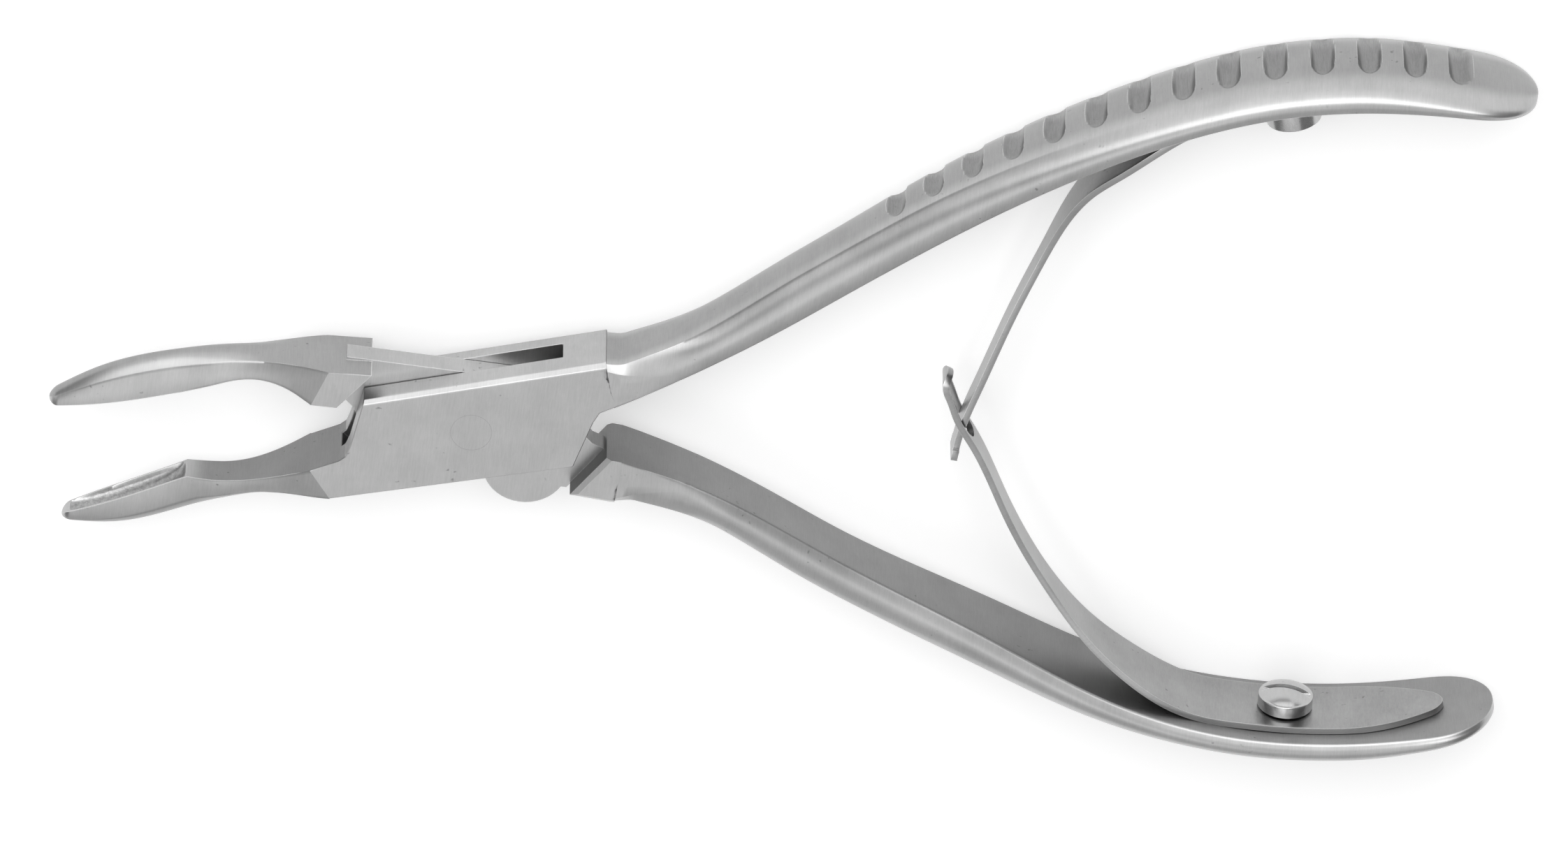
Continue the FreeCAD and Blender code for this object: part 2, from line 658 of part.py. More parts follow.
def half_piece(doc, sheet, name, word, side, curve, seat):
    """One forged half with its screw hole, turned to its place in the open instrument."""
    get = sheet.get
    centre = get("box_thickness") / 2
    make_shapes = box_half_shapes if side > 0 else tongue_half_shapes
    blank, cutters = make_shapes(doc, sheet, curve)
    foot, tangent = point_at_share(curve, seat)
    outward = Vector(-tangent.y, tangent.x, 0) * side
    lead = get("screw_hole_lead")
    hole = doc.addObject("Part::Cylinder", f"{word}_screw_hole")
    hole.setExpression("Radius", "sizes.screw_shank_diameter / 2 + sizes.screw_fit")
    hole.setExpression("Height", "sizes.screw_grip_length + sizes.screw_hole_lead")
    hole.Placement = FreeCAD.Placement(
        Vector(foot.x, foot.y, centre) - outward * lead,
        FreeCAD.Rotation(Vector(0, 0, 1), outward))
    piece = cut(doc, name, blank, fuse(doc, f"{name}_cutters", cutters + [hole]))
    turned = side * get("opening_angle") / 2
    piece.Placement = FreeCAD.Placement(Vector(0, 0, 0),
                                        FreeCAD.Rotation(Vector(0, 0, 1), turned))
    return piece


def spring_pieces(doc, sheet, word, side, curve, seat):
    """A leaf spring and the screw that holds it on its handle's inner face."""
    get = sheet.get
    centre = get("box_thickness") / 2
    turned = side * get("opening_angle") / 2
    foot, tangent = point_at_share(curve, seat)
    inward = turn(Vector(tangent.y, -tangent.x, 0) * side, turned)
    foot = turn(foot, turned) + Vector(0, 0, centre)
    line = blade_line(sheet, curve, seat, word, side, turned)
    blade = blade_strip(doc, sheet, word, line, side)
    hole = doc.addObject("Part::Cylinder", f"{word}_blade_hole")
    hole.setExpression("Radius", "sizes.screw_shank_diameter / 2 + sizes.blade_hole_clearance")
    hole.setExpression("Height", "sizes.blade_thickness + 2")
    hole.Placement = FreeCAD.Placement(foot - inward, FreeCAD.Rotation(Vector(0, 0, 1), inward))
    if word == "lower":
        cutter = fuse(doc, "lower_blade_cutters", [hole, eye_cutter(doc, sheet, line, side)])
    else:
        cutter = hole
        blade = fuse(doc, "upper_blade_hooked", [blade, hook(doc, sheet, line, side)])
    leaf = cut(doc, f"{word}_leaf_spring", blade, cutter)
    head_seat = get("blade_seat_gap") + get("blade_thickness") + get("screw_head_gap")
    along = turn(tangent, turned)
    upright = FreeCAD.Rotation(inward, get("screw_slot_turn")) * FreeCAD.Rotation(
        along, Vector(0, 0, 0), inward, "ZXY")
    screw = screw_piece(doc, word, FreeCAD.Placement(foot + inward * head_seat, upright))
    return [leaf, screw]


def checked(doc, pieces):
    """Raise an error unless every object is sound and every piece is one valid solid."""
    for item in doc.Objects:
        if "Invalid" in item.State or "Error" in item.State:
            raise RuntimeError(f"{item.Name} failed: {item.State}")
    for piece in pieces:
        shape = piece.Shape
        if shape.isNull() or not shape.isValid() or len(shape.Solids) != 1:
            raise RuntimeError(f"{piece.Label} is not one valid solid: {len(shape.Solids)}")


def main():
    doc = FreeCAD.newDocument("bone_rongeur")
    sheet = write_sheet(doc)
    pieces = []
    for name, word, side in (("box_half", "upper", 1), ("tongue_half", "lower", -1)):
        curve = grip_curve(sheet, word, side)
        seat = share_at_reach(curve, sheet.get("screw_reach"))
        pieces.append(half_piece(doc, sheet, name, word, side, curve, seat))
        pieces += spring_pieces(doc, sheet, word, side, curve, seat)
    pieces.append(cylinder(doc, "pivot_pin", "sizes.pin_diameter / 2", "sizes.box_thickness",
                           Vector(0, 0, 0), 0))
    doc.recompute()
    checked(doc, pieces)
    os.makedirs("parts", exist_ok=True)
    for piece in pieces:
        piece.Label = piece.Name
        piece.Shape.exportStep(f"parts/{piece.Name}.step")
        print(piece.Name, round(piece.Shape.Volume, 1), len(piece.Shape.Faces))


main()
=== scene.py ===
import bmesh
import bpy
import math
import numpy as np
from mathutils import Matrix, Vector


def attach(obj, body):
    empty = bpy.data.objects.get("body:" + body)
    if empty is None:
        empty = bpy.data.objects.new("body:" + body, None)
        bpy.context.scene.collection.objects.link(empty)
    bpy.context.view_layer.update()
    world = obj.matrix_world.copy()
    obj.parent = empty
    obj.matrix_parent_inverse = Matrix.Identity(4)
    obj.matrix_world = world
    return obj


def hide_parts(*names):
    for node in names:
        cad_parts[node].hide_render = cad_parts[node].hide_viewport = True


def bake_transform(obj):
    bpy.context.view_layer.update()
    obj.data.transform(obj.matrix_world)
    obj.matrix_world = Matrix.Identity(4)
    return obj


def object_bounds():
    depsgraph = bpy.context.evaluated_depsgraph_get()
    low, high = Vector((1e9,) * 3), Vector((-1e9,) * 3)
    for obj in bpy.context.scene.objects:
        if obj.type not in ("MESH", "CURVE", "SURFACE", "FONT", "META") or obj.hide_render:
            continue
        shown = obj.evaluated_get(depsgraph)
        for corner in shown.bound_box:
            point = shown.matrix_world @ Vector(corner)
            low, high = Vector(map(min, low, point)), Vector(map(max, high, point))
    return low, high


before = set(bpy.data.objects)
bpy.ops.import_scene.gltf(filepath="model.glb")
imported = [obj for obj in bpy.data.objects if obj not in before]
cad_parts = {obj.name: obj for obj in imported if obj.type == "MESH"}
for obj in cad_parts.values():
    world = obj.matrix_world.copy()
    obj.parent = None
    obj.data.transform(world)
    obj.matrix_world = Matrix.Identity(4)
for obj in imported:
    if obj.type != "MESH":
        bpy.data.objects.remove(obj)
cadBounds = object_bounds()
mm = 0.001
print("frame loaded:", ", ".join(sorted(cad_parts)))

# The instrument is in millimetres and degrees, and turned into metres mesh by mesh. Each half is drawn as it
# lies with the jaws closed and is then turned about the pivot, the way the frame has it.
instrument = {
    "thickness": 7.0,
    "halfTurn": 8.7,       # from closed, one way for each half
    "splineSteps": 4000,
    "mergeWithin": 0.0015,
    "tiny": 1e-6,
}
midPlane = instrument["thickness"] / 2


def smoothStep(value, start, end):
    # 3t^2 - 2t^3 with t = (value - start) / (end - start), held between 0 and 1
    t = np.clip((value - start) / (end - start), 0, 1)
    return t * t * (3 - 2 * t)


def splineThrough(points):
    # Natural cubic spline x(s), y(s) through the points, s being the summed chord length,
    # kept as a table of places and unit tangents against the true distance along it
    points = np.array(points, float)
    chord = np.concatenate([[0], np.cumsum(np.linalg.norm(np.diff(points, axis=0), axis=1))])
    count, gap = len(points), np.diff(chord)
    matrix, right = np.eye(count), np.zeros((count, 2))
    rise = np.diff(points, axis=0) / gap[:, None]
    inner = np.arange(1, count - 1)
    matrix[inner, inner - 1] = gap[:-1]
    matrix[inner, inner] = 2 * (gap[:-1] + gap[1:])
    matrix[inner, inner + 1] = gap[1:]
    right[1:-1] = 6 * (rise[1:] - rise[:-1])
    bend = np.linalg.solve(matrix, right)
    s = np.linspace(0, chord[-1], instrument["splineSteps"])
    k = np.clip(np.searchsorted(chord, s, side="right") - 1, 0, count - 2)
    a = ((chord[k + 1] - s) / gap[k])[:, None]
    b = 1 - a
    sixth = (gap[k] ** 2 / 6)[:, None]
    place = a * points[k] + b * points[k + 1] + ((a**3 - a) * bend[k] + (b**3 - b) * bend[k + 1]) * sixth
    run = np.concatenate([[0], np.cumsum(np.linalg.norm(np.diff(place, axis=0), axis=1))])
    tangent = np.gradient(place, run, axis=0)
    tangent /= np.linalg.norm(tangent, axis=1)[:, None]
    return {"run": run, "place": place, "tangent": tangent, "length": run[-1]}


def joinSplines(first, second):
    # One path out of two that meet in a corner
    return {"run": np.concatenate([first["run"], first["length"] + second["run"]]),
            "place": np.concatenate([first["place"], second["place"]]),
            "tangent": np.concatenate([first["tangent"], second["tangent"]]),
            "length": first["length"] + second["length"]}


def alongSpline(spline, distance):
    # Position and unit tangent at distances along the path
    pick = [np.interp(distance, spline["run"], spline[key][:, axis])
            for key in ("place", "tangent") for axis in (0, 1)]
    return np.stack(pick[:2], -1), np.stack(pick[2:], -1)


def curveBetween(points, share):
    # Bezier curve of the control points (arrays over the stations), the share along it on the last axis
    controls = [np.asarray(point, float)[..., None] for point in points]
    u = np.asarray(share)[None, :]
    while len(controls) > 1:
        controls = [(1 - u) * a + u * b for a, b in zip(controls, controls[1:])]
    return controls[0]


def turned(points, degrees):
    # x' = x cos - y sin, y' = x sin + y cos, z kept
    angle = math.radians(degrees)
    cos, sin = math.cos(angle), math.sin(angle)
    x, y, z = np.moveaxis(np.asarray(points, float), -1, 0)
    return np.stack([x * cos - y * sin, x * sin + y * cos, z], -1)


def mirrored(grid, sign=1):
    # Half rings made whole: the same columns backwards, less the two on the middle plane
    return np.concatenate([grid, sign * grid[:, -2:0:-1]], 1)


def ringPoints(foot, outward, height, width, degrees):
    # foot + outward height, width to the side of the middle plane, turned about the pivot
    flat = foot[:, None, :] + outward[:, None, :] * height[..., None]
    return turned(np.concatenate([flat, (midPlane + width)[..., None]], -1), degrees)


def gridFaces(rows, columns, closed=False):
    # Quads (i, j) (i+1, j) (i+1, j+1) (i, j+1), the last column joined to the first if closed
    i, j = np.meshgrid(np.arange(rows - 1), np.arange(columns - (not closed)), indexing="ij")
    nextJ = (j + 1) % columns
    corners = [i * columns + j, (i + 1) * columns + j, (i + 1) * columns + nextJ, i * columns + nextJ]
    return np.stack(corners, -1).reshape(-1, 4)


def tubeFaces(rows, columns):
    # A closed grid of rings with a lid on its first and its last ring
    last = (rows - 1) * columns
    lids = [list(range(columns)), list(range(last + columns - 1, last - 1, -1))]
    return gridFaces(rows, columns, closed=True).tolist() + lids


def smoothByAngle(mesh, angle):
    # Smooth shading, with edges sharper than the angle kept sharp
    mesh.shade_smooth()
    mesh.set_sharp_from_angle(angle=math.radians(angle))


def newObject(name, data):
    # An object of the scene that holds the data
    made = bpy.data.objects.new(name, data)
    bpy.context.scene.collection.objects.link(made)
    return made


def makePiece(name, points, faces, sharpAngle=30, marks=None):
    # A mesh object in metres; doubles are merged and the faces of each shell turned outwards
    mesh = bpy.data.meshes.new(name)
    mesh.from_pydata((np.asarray(points).reshape(-1, 3) * mm).tolist(), [], [list(face) for face in faces])
    for label, values in (marks or {}).items():
        layer = mesh.attributes.new(label, "FLOAT", "POINT")
        layer.data.foreach_set("value", np.asarray(values, np.float32).ravel())
    work = bmesh.new()
    work.from_mesh(mesh)
    bmesh.ops.remove_doubles(work, verts=work.verts, dist=instrument["mergeWithin"] * mm)
    bmesh.ops.recalc_face_normals(work, faces=work.faces)
    work.to_mesh(mesh)
    work.free()
    smoothByAngle(mesh, sharpAngle)
    return newObject(name, mesh)


def settle(piece):
    # The piece's modifiers made part of its mesh
    graph = bpy.context.evaluated_depsgraph_get()
    mesh = bpy.data.meshes.new_from_object(piece.evaluated_get(graph))
    piece.modifiers.clear()
    piece.data = mesh


def addBevel(piece, width, segments, angle=None):
    # Rounded edges, where the faces meet at more than the angle, or by weight if no angle is given
    rounding = piece.modifiers.new("edges", "BEVEL")
    rounding.width = width * mm
    rounding.segments = segments
    rounding.limit_method = "ANGLE" if angle else "WEIGHT"
    rounding.harden_normals = not angle
    if angle:
        rounding.angle_limit = math.radians(angle)


def joinInto(piece, others):
    # The others' meshes added to the piece's mesh
    with bpy.context.temp_override(active_object=piece, selected_editable_objects=[piece] + others):
        bpy.ops.object.join()


# Handles

gripForm = {
    "waistWidth": 7.0, "paddleWidth": 12.0, "flareStart": 35.0, "flareEnd": 82.0,
    "neckDepth": 3.95, "neckLength": 5.0, "swellEnd": 24.0, "paddleDepth": 3.4, "paddleEndDepth": 2.2,
    "thinning": (46.0, 78.0), "endThinning": (90.0, 107.0),
    "paddleEnd": 7.5, "endShare": 0.3, "endPower": 2.8,
    "rootBlend": 3.0, "flankBlend": 9.0, "blend": 13.0,
    "edge": 0.35, "edgePull": 0.3, "tuck": 0.26, "belly": 0.16, "swell": 0.51,
    "crownDrop": 0.7, "creaseShare": 0.72,
    "fluteRadius": 1.12, "fluteLean": 0.24, "fluteEnd": 0.34, "fluteTaper": 0.6, "fluteCount": 14,
    "fluteStart": 34.9, "flutePitch": 4.28, "fluteSoftness": 0.05, "fluteClear": 2.0, "fluteMarkAndShade": 0.12,
    # painted shade: on the flat inner face, fading over the first pair of x values down to the share after
    # them, and on the crowned back, fading in over the last count of points
    "innerShadeUntil": (64.0, 84.0), "innerShadeEnd": 0.85, "flatWithin": 0.02, "backShadeFade": 12,
    "stations": (90, 460, 25, 26),      # before the flutes, along them, behind them, round the end
    "stationGap": (2.0, 0.5),           # past the flutes, before the end
    "sectionPoints": (7, 6, 17, 27),    # inner face, bevel, flank, crown
    "sharpAngle": 32,
}
upperGrip = {
    "side": 1, "root": [(14.2, 0.65), (14.2, 5.75)], "depth": 4.8, "fluteDepth": 0.9, "chamfer": 0.5,
    "line": [(24.0, 3.6), (38.0, 9.5), (54.0, 16.85), (68.0, 21.95), (82.0, 24.5), (96.0, 23.1),
             (107.6, 19.9)],
}
lowerGrip = {
    "side": -1, "root": [(15.0, -1.2), (15.0, -6.1)], "depth": 4.5, "fluteDepth": 0.6, "chamfer": 0.45,
    "line": [(24.0, -3.6), (38.0, -9.65), (54.0, -15.85), (66.0, -20.4), (78.0, -22.37),
             (92.0, -21.07), (104.2, -17.6)],
}


def gripDepth(grip, place, reach):
    # neck -> grip -> paddle -> end, each change a smooth step, and the root's own depth at the start
    form = gripForm
    root = abs(grip["root"][1][1] - grip["root"][0][1])
    depth = form["neckDepth"] + (grip["depth"] - form["neckDepth"]) * smoothStep(
        place, form["neckLength"], form["swellEnd"])
    depth = depth + (form["paddleDepth"] - grip["depth"]) * smoothStep(reach, *form["thinning"])
    depth = depth + (form["paddleEndDepth"] - form["paddleDepth"]) * smoothStep(reach, *form["endThinning"])
    return root + (depth - root) * smoothStep(place, 0, form["rootBlend"])


def gripHalf(reach):
    # Half the width: (waist + (paddle - waist) smoothStep) / 2
    form = gripForm
    flare = smoothStep(reach, form["flareStart"], form["flareEnd"])
    return (form["waistWidth"] + (form["paddleWidth"] - form["waistWidth"]) * flare) / 2


def gripStations(length):
    # Distances along the handle: close together where the flutes are, and round the end
    form = gripForm
    front, middle, back, end = form["stations"]
    margin, endGap = form["stationGap"]
    body = length - form["paddleEnd"]
    first = form["fluteStart"] - margin
    last = form["fluteStart"] + (form["fluteCount"] - 1) * form["flutePitch"] + margin
    last = min(last, body - endGap)
    return np.concatenate([np.linspace(0, first, front, endpoint=False),
                           np.linspace(first, last, middle, endpoint=False),
                           np.linspace(last, body, back),
                           body + form["paddleEnd"] * np.sin(np.linspace(0, np.pi / 2, end)[1:])])


def gripSection(grip, place, reach, endShare):
    # Half a section as (height, width): flat inner face, bevel, flank (a cubic Bezier, straight at the root)
    # and crown, height = shoulder + drop (1 - (w / crease)^2)
    form = gripForm
    blend = smoothStep(place, 0, form["blend"])
    depth, half = gripDepth(grip, place, reach), gripHalf(reach)
    flank = depth - grip["chamfer"]
    flank = flank + (form["edge"] - flank) * smoothStep(place, 0, form["flankBlend"])
    crease = half - grip["chamfer"]
    crease = crease + (half * form["creaseShare"] - crease) * blend
    lower = form["endShare"] + (1 - form["endShare"]) * endShare
    depth, flank = depth * lower, flank * lower
    half, crease = half * endShare, crease * endShare
    drop, edge, tuck, belly = (form[key] * blend * endShare for key in ("crownDrop", "edge", "tuck", "belly"))
    shoulder = depth - drop
    rise, fall = shoulder - flank, half - crease
    flat, zero = half - edge - tuck, np.zeros_like(depth)
    outer = half - fall / 3 + (belly + fall / 3) * blend
    upper = half - 2 * fall / 3 + (belly + form["swell"] * fall) * blend
    inner, bevel, side = (np.linspace(0, 1, count)[:-1] for count in form["sectionPoints"][:3])
    w = np.linspace(1, 0, form["sectionPoints"][3])[None, :]
    height = [curveBetween([zero, zero], inner), curveBetween([zero, zero, flank], bevel),
              curveBetween([flank, flank + rise / 3, flank + 2 * rise / 3, shoulder], side),
              shoulder[:, None] + drop[:, None] * (1 - w**2)]
    width = [curveBetween([zero, flat], inner),
             curveBetween([flat, half - form["edgePull"] * edge - tuck, half - tuck], bevel),
             curveBetween([half - tuck, outer, upper, crease], side), crease[:, None] * w]
    return np.concatenate(height, 1), np.concatenate(width, 1)


def cutFlutes(grip, spline, place, height, width):
    # Ball-ended grooves with a leaning axis. With e for how far the width is past the near end, times the
    # taper, the bottom is axis - sqrt(R^2 - (a - a_i)^2 - e^2), and with g = height - bottom the height
    # drops by (g + sqrt(g^2 + softness^2)) / 2
    form = gripForm
    centre = form["fluteStart"] + np.arange(form["fluteCount"]) * form["flutePitch"]
    reach = alongSpline(spline, centre)[0][:, 0]
    axis = gripDepth(grip, centre, reach) - grip["fluteDepth"] + form["fluteRadius"]
    nearest = np.rint((place - form["fluteStart"]) / form["flutePitch"]).astype(int)
    nearest = np.clip(nearest, 0, form["fluteCount"] - 1)
    offset = (place - centre[nearest])[:, None]
    crease = (gripHalf(reach) * form["creaseShare"])[nearest][:, None]
    past = np.clip(width - crease * form["fluteEnd"], 0, None) * form["fluteTaper"]
    room = form["fluteRadius"] ** 2 - offset**2 - past**2
    bottom = axis[nearest][:, None] - np.sqrt(np.clip(room, 0, None)) + width * form["fluteLean"] / crease
    gap = np.where(room > 0, height - bottom, -form["fluteClear"])
    cut = height - (gap + np.sqrt(gap**2 + form["fluteSoftness"] ** 2)) / 2
    reached = (gap > -form["fluteClear"]) & (height > 3 * form["edge"])
    # the second result marks the grooves, where the material lays streaks and painted shade
    return np.where(reached, cut, height), np.where(reached, smoothStep(gap, 0, form["fluteMarkAndShade"]), 0)


def makeHandle(name, grip):
    # Rings along the inner line, from the root to the paddle's round end, (1 - p^n)^0.5
    form = gripForm
    spline = splineThrough([grip["root"][0]] + grip["line"])
    place = gripStations(spline["length"])
    foot, tangent = alongSpline(spline, place)
    outward = np.stack([-tangent[:, 1], tangent[:, 0]], -1) * grip["side"]
    outward[0] = (0, grip["side"])
    body = spline["length"] - form["paddleEnd"]
    past = np.clip((place - body) / form["paddleEnd"], 0, 1)
    height, width = gripSection(grip, place, foot[:, 0], np.sqrt(1 - past ** form["endPower"]))
    # painted shade over the crowned back, faded in from the crown's first point
    crownStart = width.shape[1] - form["sectionPoints"][3]
    back = smoothStep(np.arange(width.shape[1]), crownStart, crownStart + form["backShadeFade"])
    back = mirrored(back * np.ones_like(width))
    width = mirrored(width, -1)
    height, fluteStreaksAndShade = cutFlutes(grip, spline, place, mirrored(height), width)
    # painted shade on the flat inner face, weaker towards the paddle's end
    shadeWeight = 1 - (1 - form["innerShadeEnd"]) * smoothStep(foot[:, 0], *form["innerShadeUntil"])
    marks = {"flutedStreaksAndShade": fluteStreaksAndShade, "innerFaceShade": (height < form["flatWithin"]) * shadeWeight[:, None], "backFaceShade": back}
    points = ringPoints(foot, outward, height, width, grip["side"] * instrument["halfTurn"])
    return makePiece(name, points, tubeFaces(*height.shape), form["sharpAngle"], marks)


# Jaws

jawForm = {
    "waistWidth": 3.6, "cupWidth": 3.1, "waistShare": 0.36, "swellShare": 0.55, "crownShare": 0.3,
    "taperShare": 0.6, "tipNarrowing": 0.42, "tipRound": 0.9, "sideShare": 0.7, "backNarrowing": 0.14,
    "sidePull": 0.55, "sideSwell": 0.02,
    "cupDepth": 1.1, "cupWall": 0.22, "cupRoom": 0.15, "cupStart": 0.9, "cupGap": 0.25,
    # the cup's mask, for blotches and painted shade, ramps in with depth between the first two values; the
    # painted shade on the rim behind the cup fades in over the last length
    "cupMarkAndShade": (0.02, 0.3), "innerShadeFade": 2.5,
    "troughDepth": 0.32, "troughStart": (0.6, 4.5), "troughEnd": (6.0, 12.0),    # behind the cup
    "stations": 230, "crowding": 1.25, "noseStations": 30,
    "sectionPoints": (21, 11, 19),      # rim, side, crown
    "sharpAngle": 38,
}
upperJaw = {
    "side": 1, "root": [(-15.9, 0.75), (-14.7, 4.7)],
    "rimBack": [(-18.4, 1.75), (-21.6, 1.95), (-25.4, 0.55), (-28.4, -0.85)],
    "rimFront": [(-28.4, -0.85), (-34.4, -2.95), (-41.0, -4.76)],
    "back": [(-21.8, 4.55), (-29.2, 3.0), (-36.5, -0.1), (-41.1, -3.55)],
}
lowerJaw = {
    "side": -1, "root": [(-16.3, -1.95), (-14.9, -5.45)],
    "rimBack": [(-18.9, -2.55), (-22.5, -2.98), (-25.6, -2.72), (-28.5, -1.95)],
    "rimFront": [(-28.5, -1.95), (-34.6, -3.35), (-41.45, -4.72)],
    "back": [(-21.6, -5.35), (-28.6, -6.0), (-35.8, -6.85), (-41.6, -5.75)],
}


def jawStations(peak):
    # Shares of the length: even up to the rim's peak, then crowding towards the tip, most of all round it
    count, nose = jawForm["stations"] // 2, jawForm["noseStations"]
    share = np.concatenate([np.linspace(0, peak, count, endpoint=False),
                            1 - (1 - peak) * np.linspace(1, 0, count) ** jawForm["crowding"]])
    share[-nose:] = 1 - (1 - share[-nose]) * (1 - np.sin(np.linspace(0, np.pi / 2, nose)))
    return share


def jawHalf(share, nose):
    # Half the width: root -> waist by a sine, waist -> cup by a smooth step, then (1 - n q^3) to the tip
    form = jawForm
    waist, cup = form["waistWidth"] / 2, form["cupWidth"] / 2
    half = midPlane + (waist - midPlane) * np.sin(np.clip(share / form["waistShare"], 0, 1) * np.pi / 2)
    half = half + (cup - waist) * smoothStep(share, form["waistShare"], form["swellShare"])
    taper = np.clip(share - form["taperShare"], 0, None) / (1 - form["taperShare"])
    return half * (1 - form["tipNarrowing"] * taper**3) * nose


def jawHollows(half, toTip, cupEnd, across):
    # The cup, depth (1 - |x|^3)^0.5 (1 - t^2)^0.5 between its ends, and the trough behind it, depth (1 - t^2)
    form = jawForm
    x = (toTip - (form["cupStart"] + cupEnd) / 2) / ((cupEnd - form["cupStart"]) / 2)
    run = np.sqrt(np.clip(1 - np.abs(x) ** 3, 0, 1))[:, None]
    t = across * half[:, None] / np.clip(half - form["cupWall"], form["cupRoom"], None)[:, None]
    size = half[:, None] / (form["cupWidth"] / 2)
    cup = form["cupDepth"] * run * np.sqrt(np.clip(1 - t**2, 0, 1)) * size
    rise, fall = (smoothStep(toTip - cupEnd, *form[key]) for key in ("troughStart", "troughEnd"))
    return cup, form["troughDepth"] * (rise * (1 - fall))[:, None] * (1 - across**2)


def makeJaw(name, jaw):
    # Rings along the rim, which bends sharply at its peak: rim with its hollows, side (a Bezier) and crown,
    # side + rest (1 - w^2). Round the tip the section shrinks about its centre by (1 - p^2)^0.5
    form = jawForm
    rimBack = splineThrough([jaw["root"][0]] + jaw["rimBack"])
    rim = joinSplines(rimBack, splineThrough(jaw["rimFront"]))
    back = splineThrough([jaw["root"][1]] + jaw["back"])
    peak = rimBack["length"] / rim["length"]
    share = jawStations(peak)
    toTip = (1 - share) * rim["length"]
    inner = alongSpline(rim, share * rim["length"])[0]
    outer = alongSpline(back, share * back["length"])[0]
    nose = np.sqrt(1 - np.clip(1 - toTip / form["tipRound"], 0, 1) ** 2)
    span = (outer - inner) * nose[:, None]
    inner = (inner + outer - span) / 2
    depth = np.linalg.norm(span, axis=1)
    outward = span / np.clip(depth, instrument["tiny"], None)[:, None]
    outward[-1] = outward[-2]
    half = jawHalf(share, nose)
    crowned = smoothStep(share, 0, form["crownShare"])
    narrow = half * (1 - form["backNarrowing"] * crowned)
    crease = depth * (1 - (1 - form["sideShare"]) * crowned)
    rimCount, sideCount, crownCount = form["sectionPoints"]
    across, w = np.linspace(0, 1, rimCount)[None, :], np.linspace(1, 0, crownCount)[None, :]
    along = np.linspace(0, 1, sideCount)[1:-1]
    cupEnd = (1 - peak) * rim["length"] - form["cupGap"]
    cup, trough = jawHollows(half, toTip, cupEnd, across)
    side = curveBetween([0 * depth, crease * form["sidePull"], crease], along)
    crown = crease[:, None] + (depth - crease)[:, None] * (1 - w**2)
    sideWidth = curveBetween([half, half * (1 + form["sideSwell"] * crowned), narrow], along)
    width = np.concatenate([half[:, None] * across, sideWidth, narrow[:, None] * w], 1)
    height = mirrored(np.concatenate([cup + trough, side, crown], 1))
    # painted shade on the rim behind the cup and on the crown, and blotches with painted shade in the cup
    shadeWeight = smoothStep(toTip, cupEnd, cupEnd + form["innerShadeFade"])[:, None]
    marks = {"cuppedBlotchesAndShade": [smoothStep(cup, *form["cupMarkAndShade"]), 0 * side, 0 * crown],
             "innerFaceShade": [0 * cup + shadeWeight, 0 * side, 0 * crown],
             "backFaceShade": [0 * cup, 0 * side, 0 * crown + 1]}
    marks = {label: mirrored(np.concatenate(parts, 1)) for label, parts in marks.items()}
    points = ringPoints(inner, outward, height, mirrored(width, -1), -jaw["side"] * instrument["halfTurn"])
    return makePiece(name, points, tubeFaces(*height.shape), form["sharpAngle"], marks)


# Box, slot and tongue

plateForm = {
    "edgeRound": 0.12, "edgeSegments": 2, "sharpAngle": 20,
    "roundFrom": 24,       # degrees between two faces from which their edge is rounded
    "holeKeep": 2.6,       # the pin's hole stays sharp, so that the pin lies flush in it
    "mergeWithin": 0.001, "cutWithin": 0.0005, "flatWithin": 0.8, "rootWithin": 0.01,
    # painted shade goes on faces that tilt towards +y past the first value and lie further than the second
    # from the pivot
    "shadeTilt": 0.55, "shadeBeyond": 9.5,
    "blockShade": 0.65,    # how much painted shade the block behind the upper jaw gets against the near half
    "boxChamfer": [(-9.8, 4.85, 7.0), (-9.8, 5.1, 6.75), (14.2, 5.25, 7.0)],    # widens to the handle
}


def cutAway(work, place, normal):
    # What lies past the plane goes, and the cut is closed
    plane = Vector(place * mm), Vector(normal / np.linalg.norm(normal))
    geometry = work.verts[:] + work.edges[:] + work.faces[:]
    result = bmesh.ops.bisect_plane(work, geom=geometry, dist=plateForm["cutWithin"] * mm, plane_co=plane[0],
                                    plane_no=plane[1], clear_outer=True)
    rim = [item for item in result["geom_cut"] if isinstance(item, bmesh.types.BMEdge)]
    bmesh.ops.holes_fill(work, edges=rim, sides=0)
    return plane


def weighEdges(work, roots):
    # Bevel weight 1 for edges that are sharp enough, clear of the pin's hole and not on a root
    weight = work.edges.layers.float.new("bevel_weight_edge")
    within = plateForm["rootWithin"] * mm
    for edge in work.edges:
        middle = (edge.verts[0].co + edge.verts[1].co) / 2
        sharp = edge.calc_face_angle(0) > math.radians(plateForm["roundFrom"])
        clear = math.hypot(middle.x, middle.y) > plateForm["holeKeep"] * mm
        onRoot = any(abs((middle - place).dot(normal)) < within for place, normal in roots)
        edge[weight] = float(sharp and clear and not onRoot)


def markShadedFaces(work):
    # Painted shade on faces that look to +y, away from the joint: full on the near half, in part on the upper
    # jaw's block
    shadeWeight = work.faces.layers.float.new("facingShade")
    beyond = plateForm["shadeBeyond"] * mm
    for face in work.faces:
        middle = face.calc_center_median()
        facing = face.normal.y > plateForm["shadeTilt"]
        if facing and abs(middle.x) > beyond and middle.y < 0:
            face[shadeWeight] = 1.0
        elif facing and middle.x < -beyond:
            face[shadeWeight] = plateForm["blockShade"]


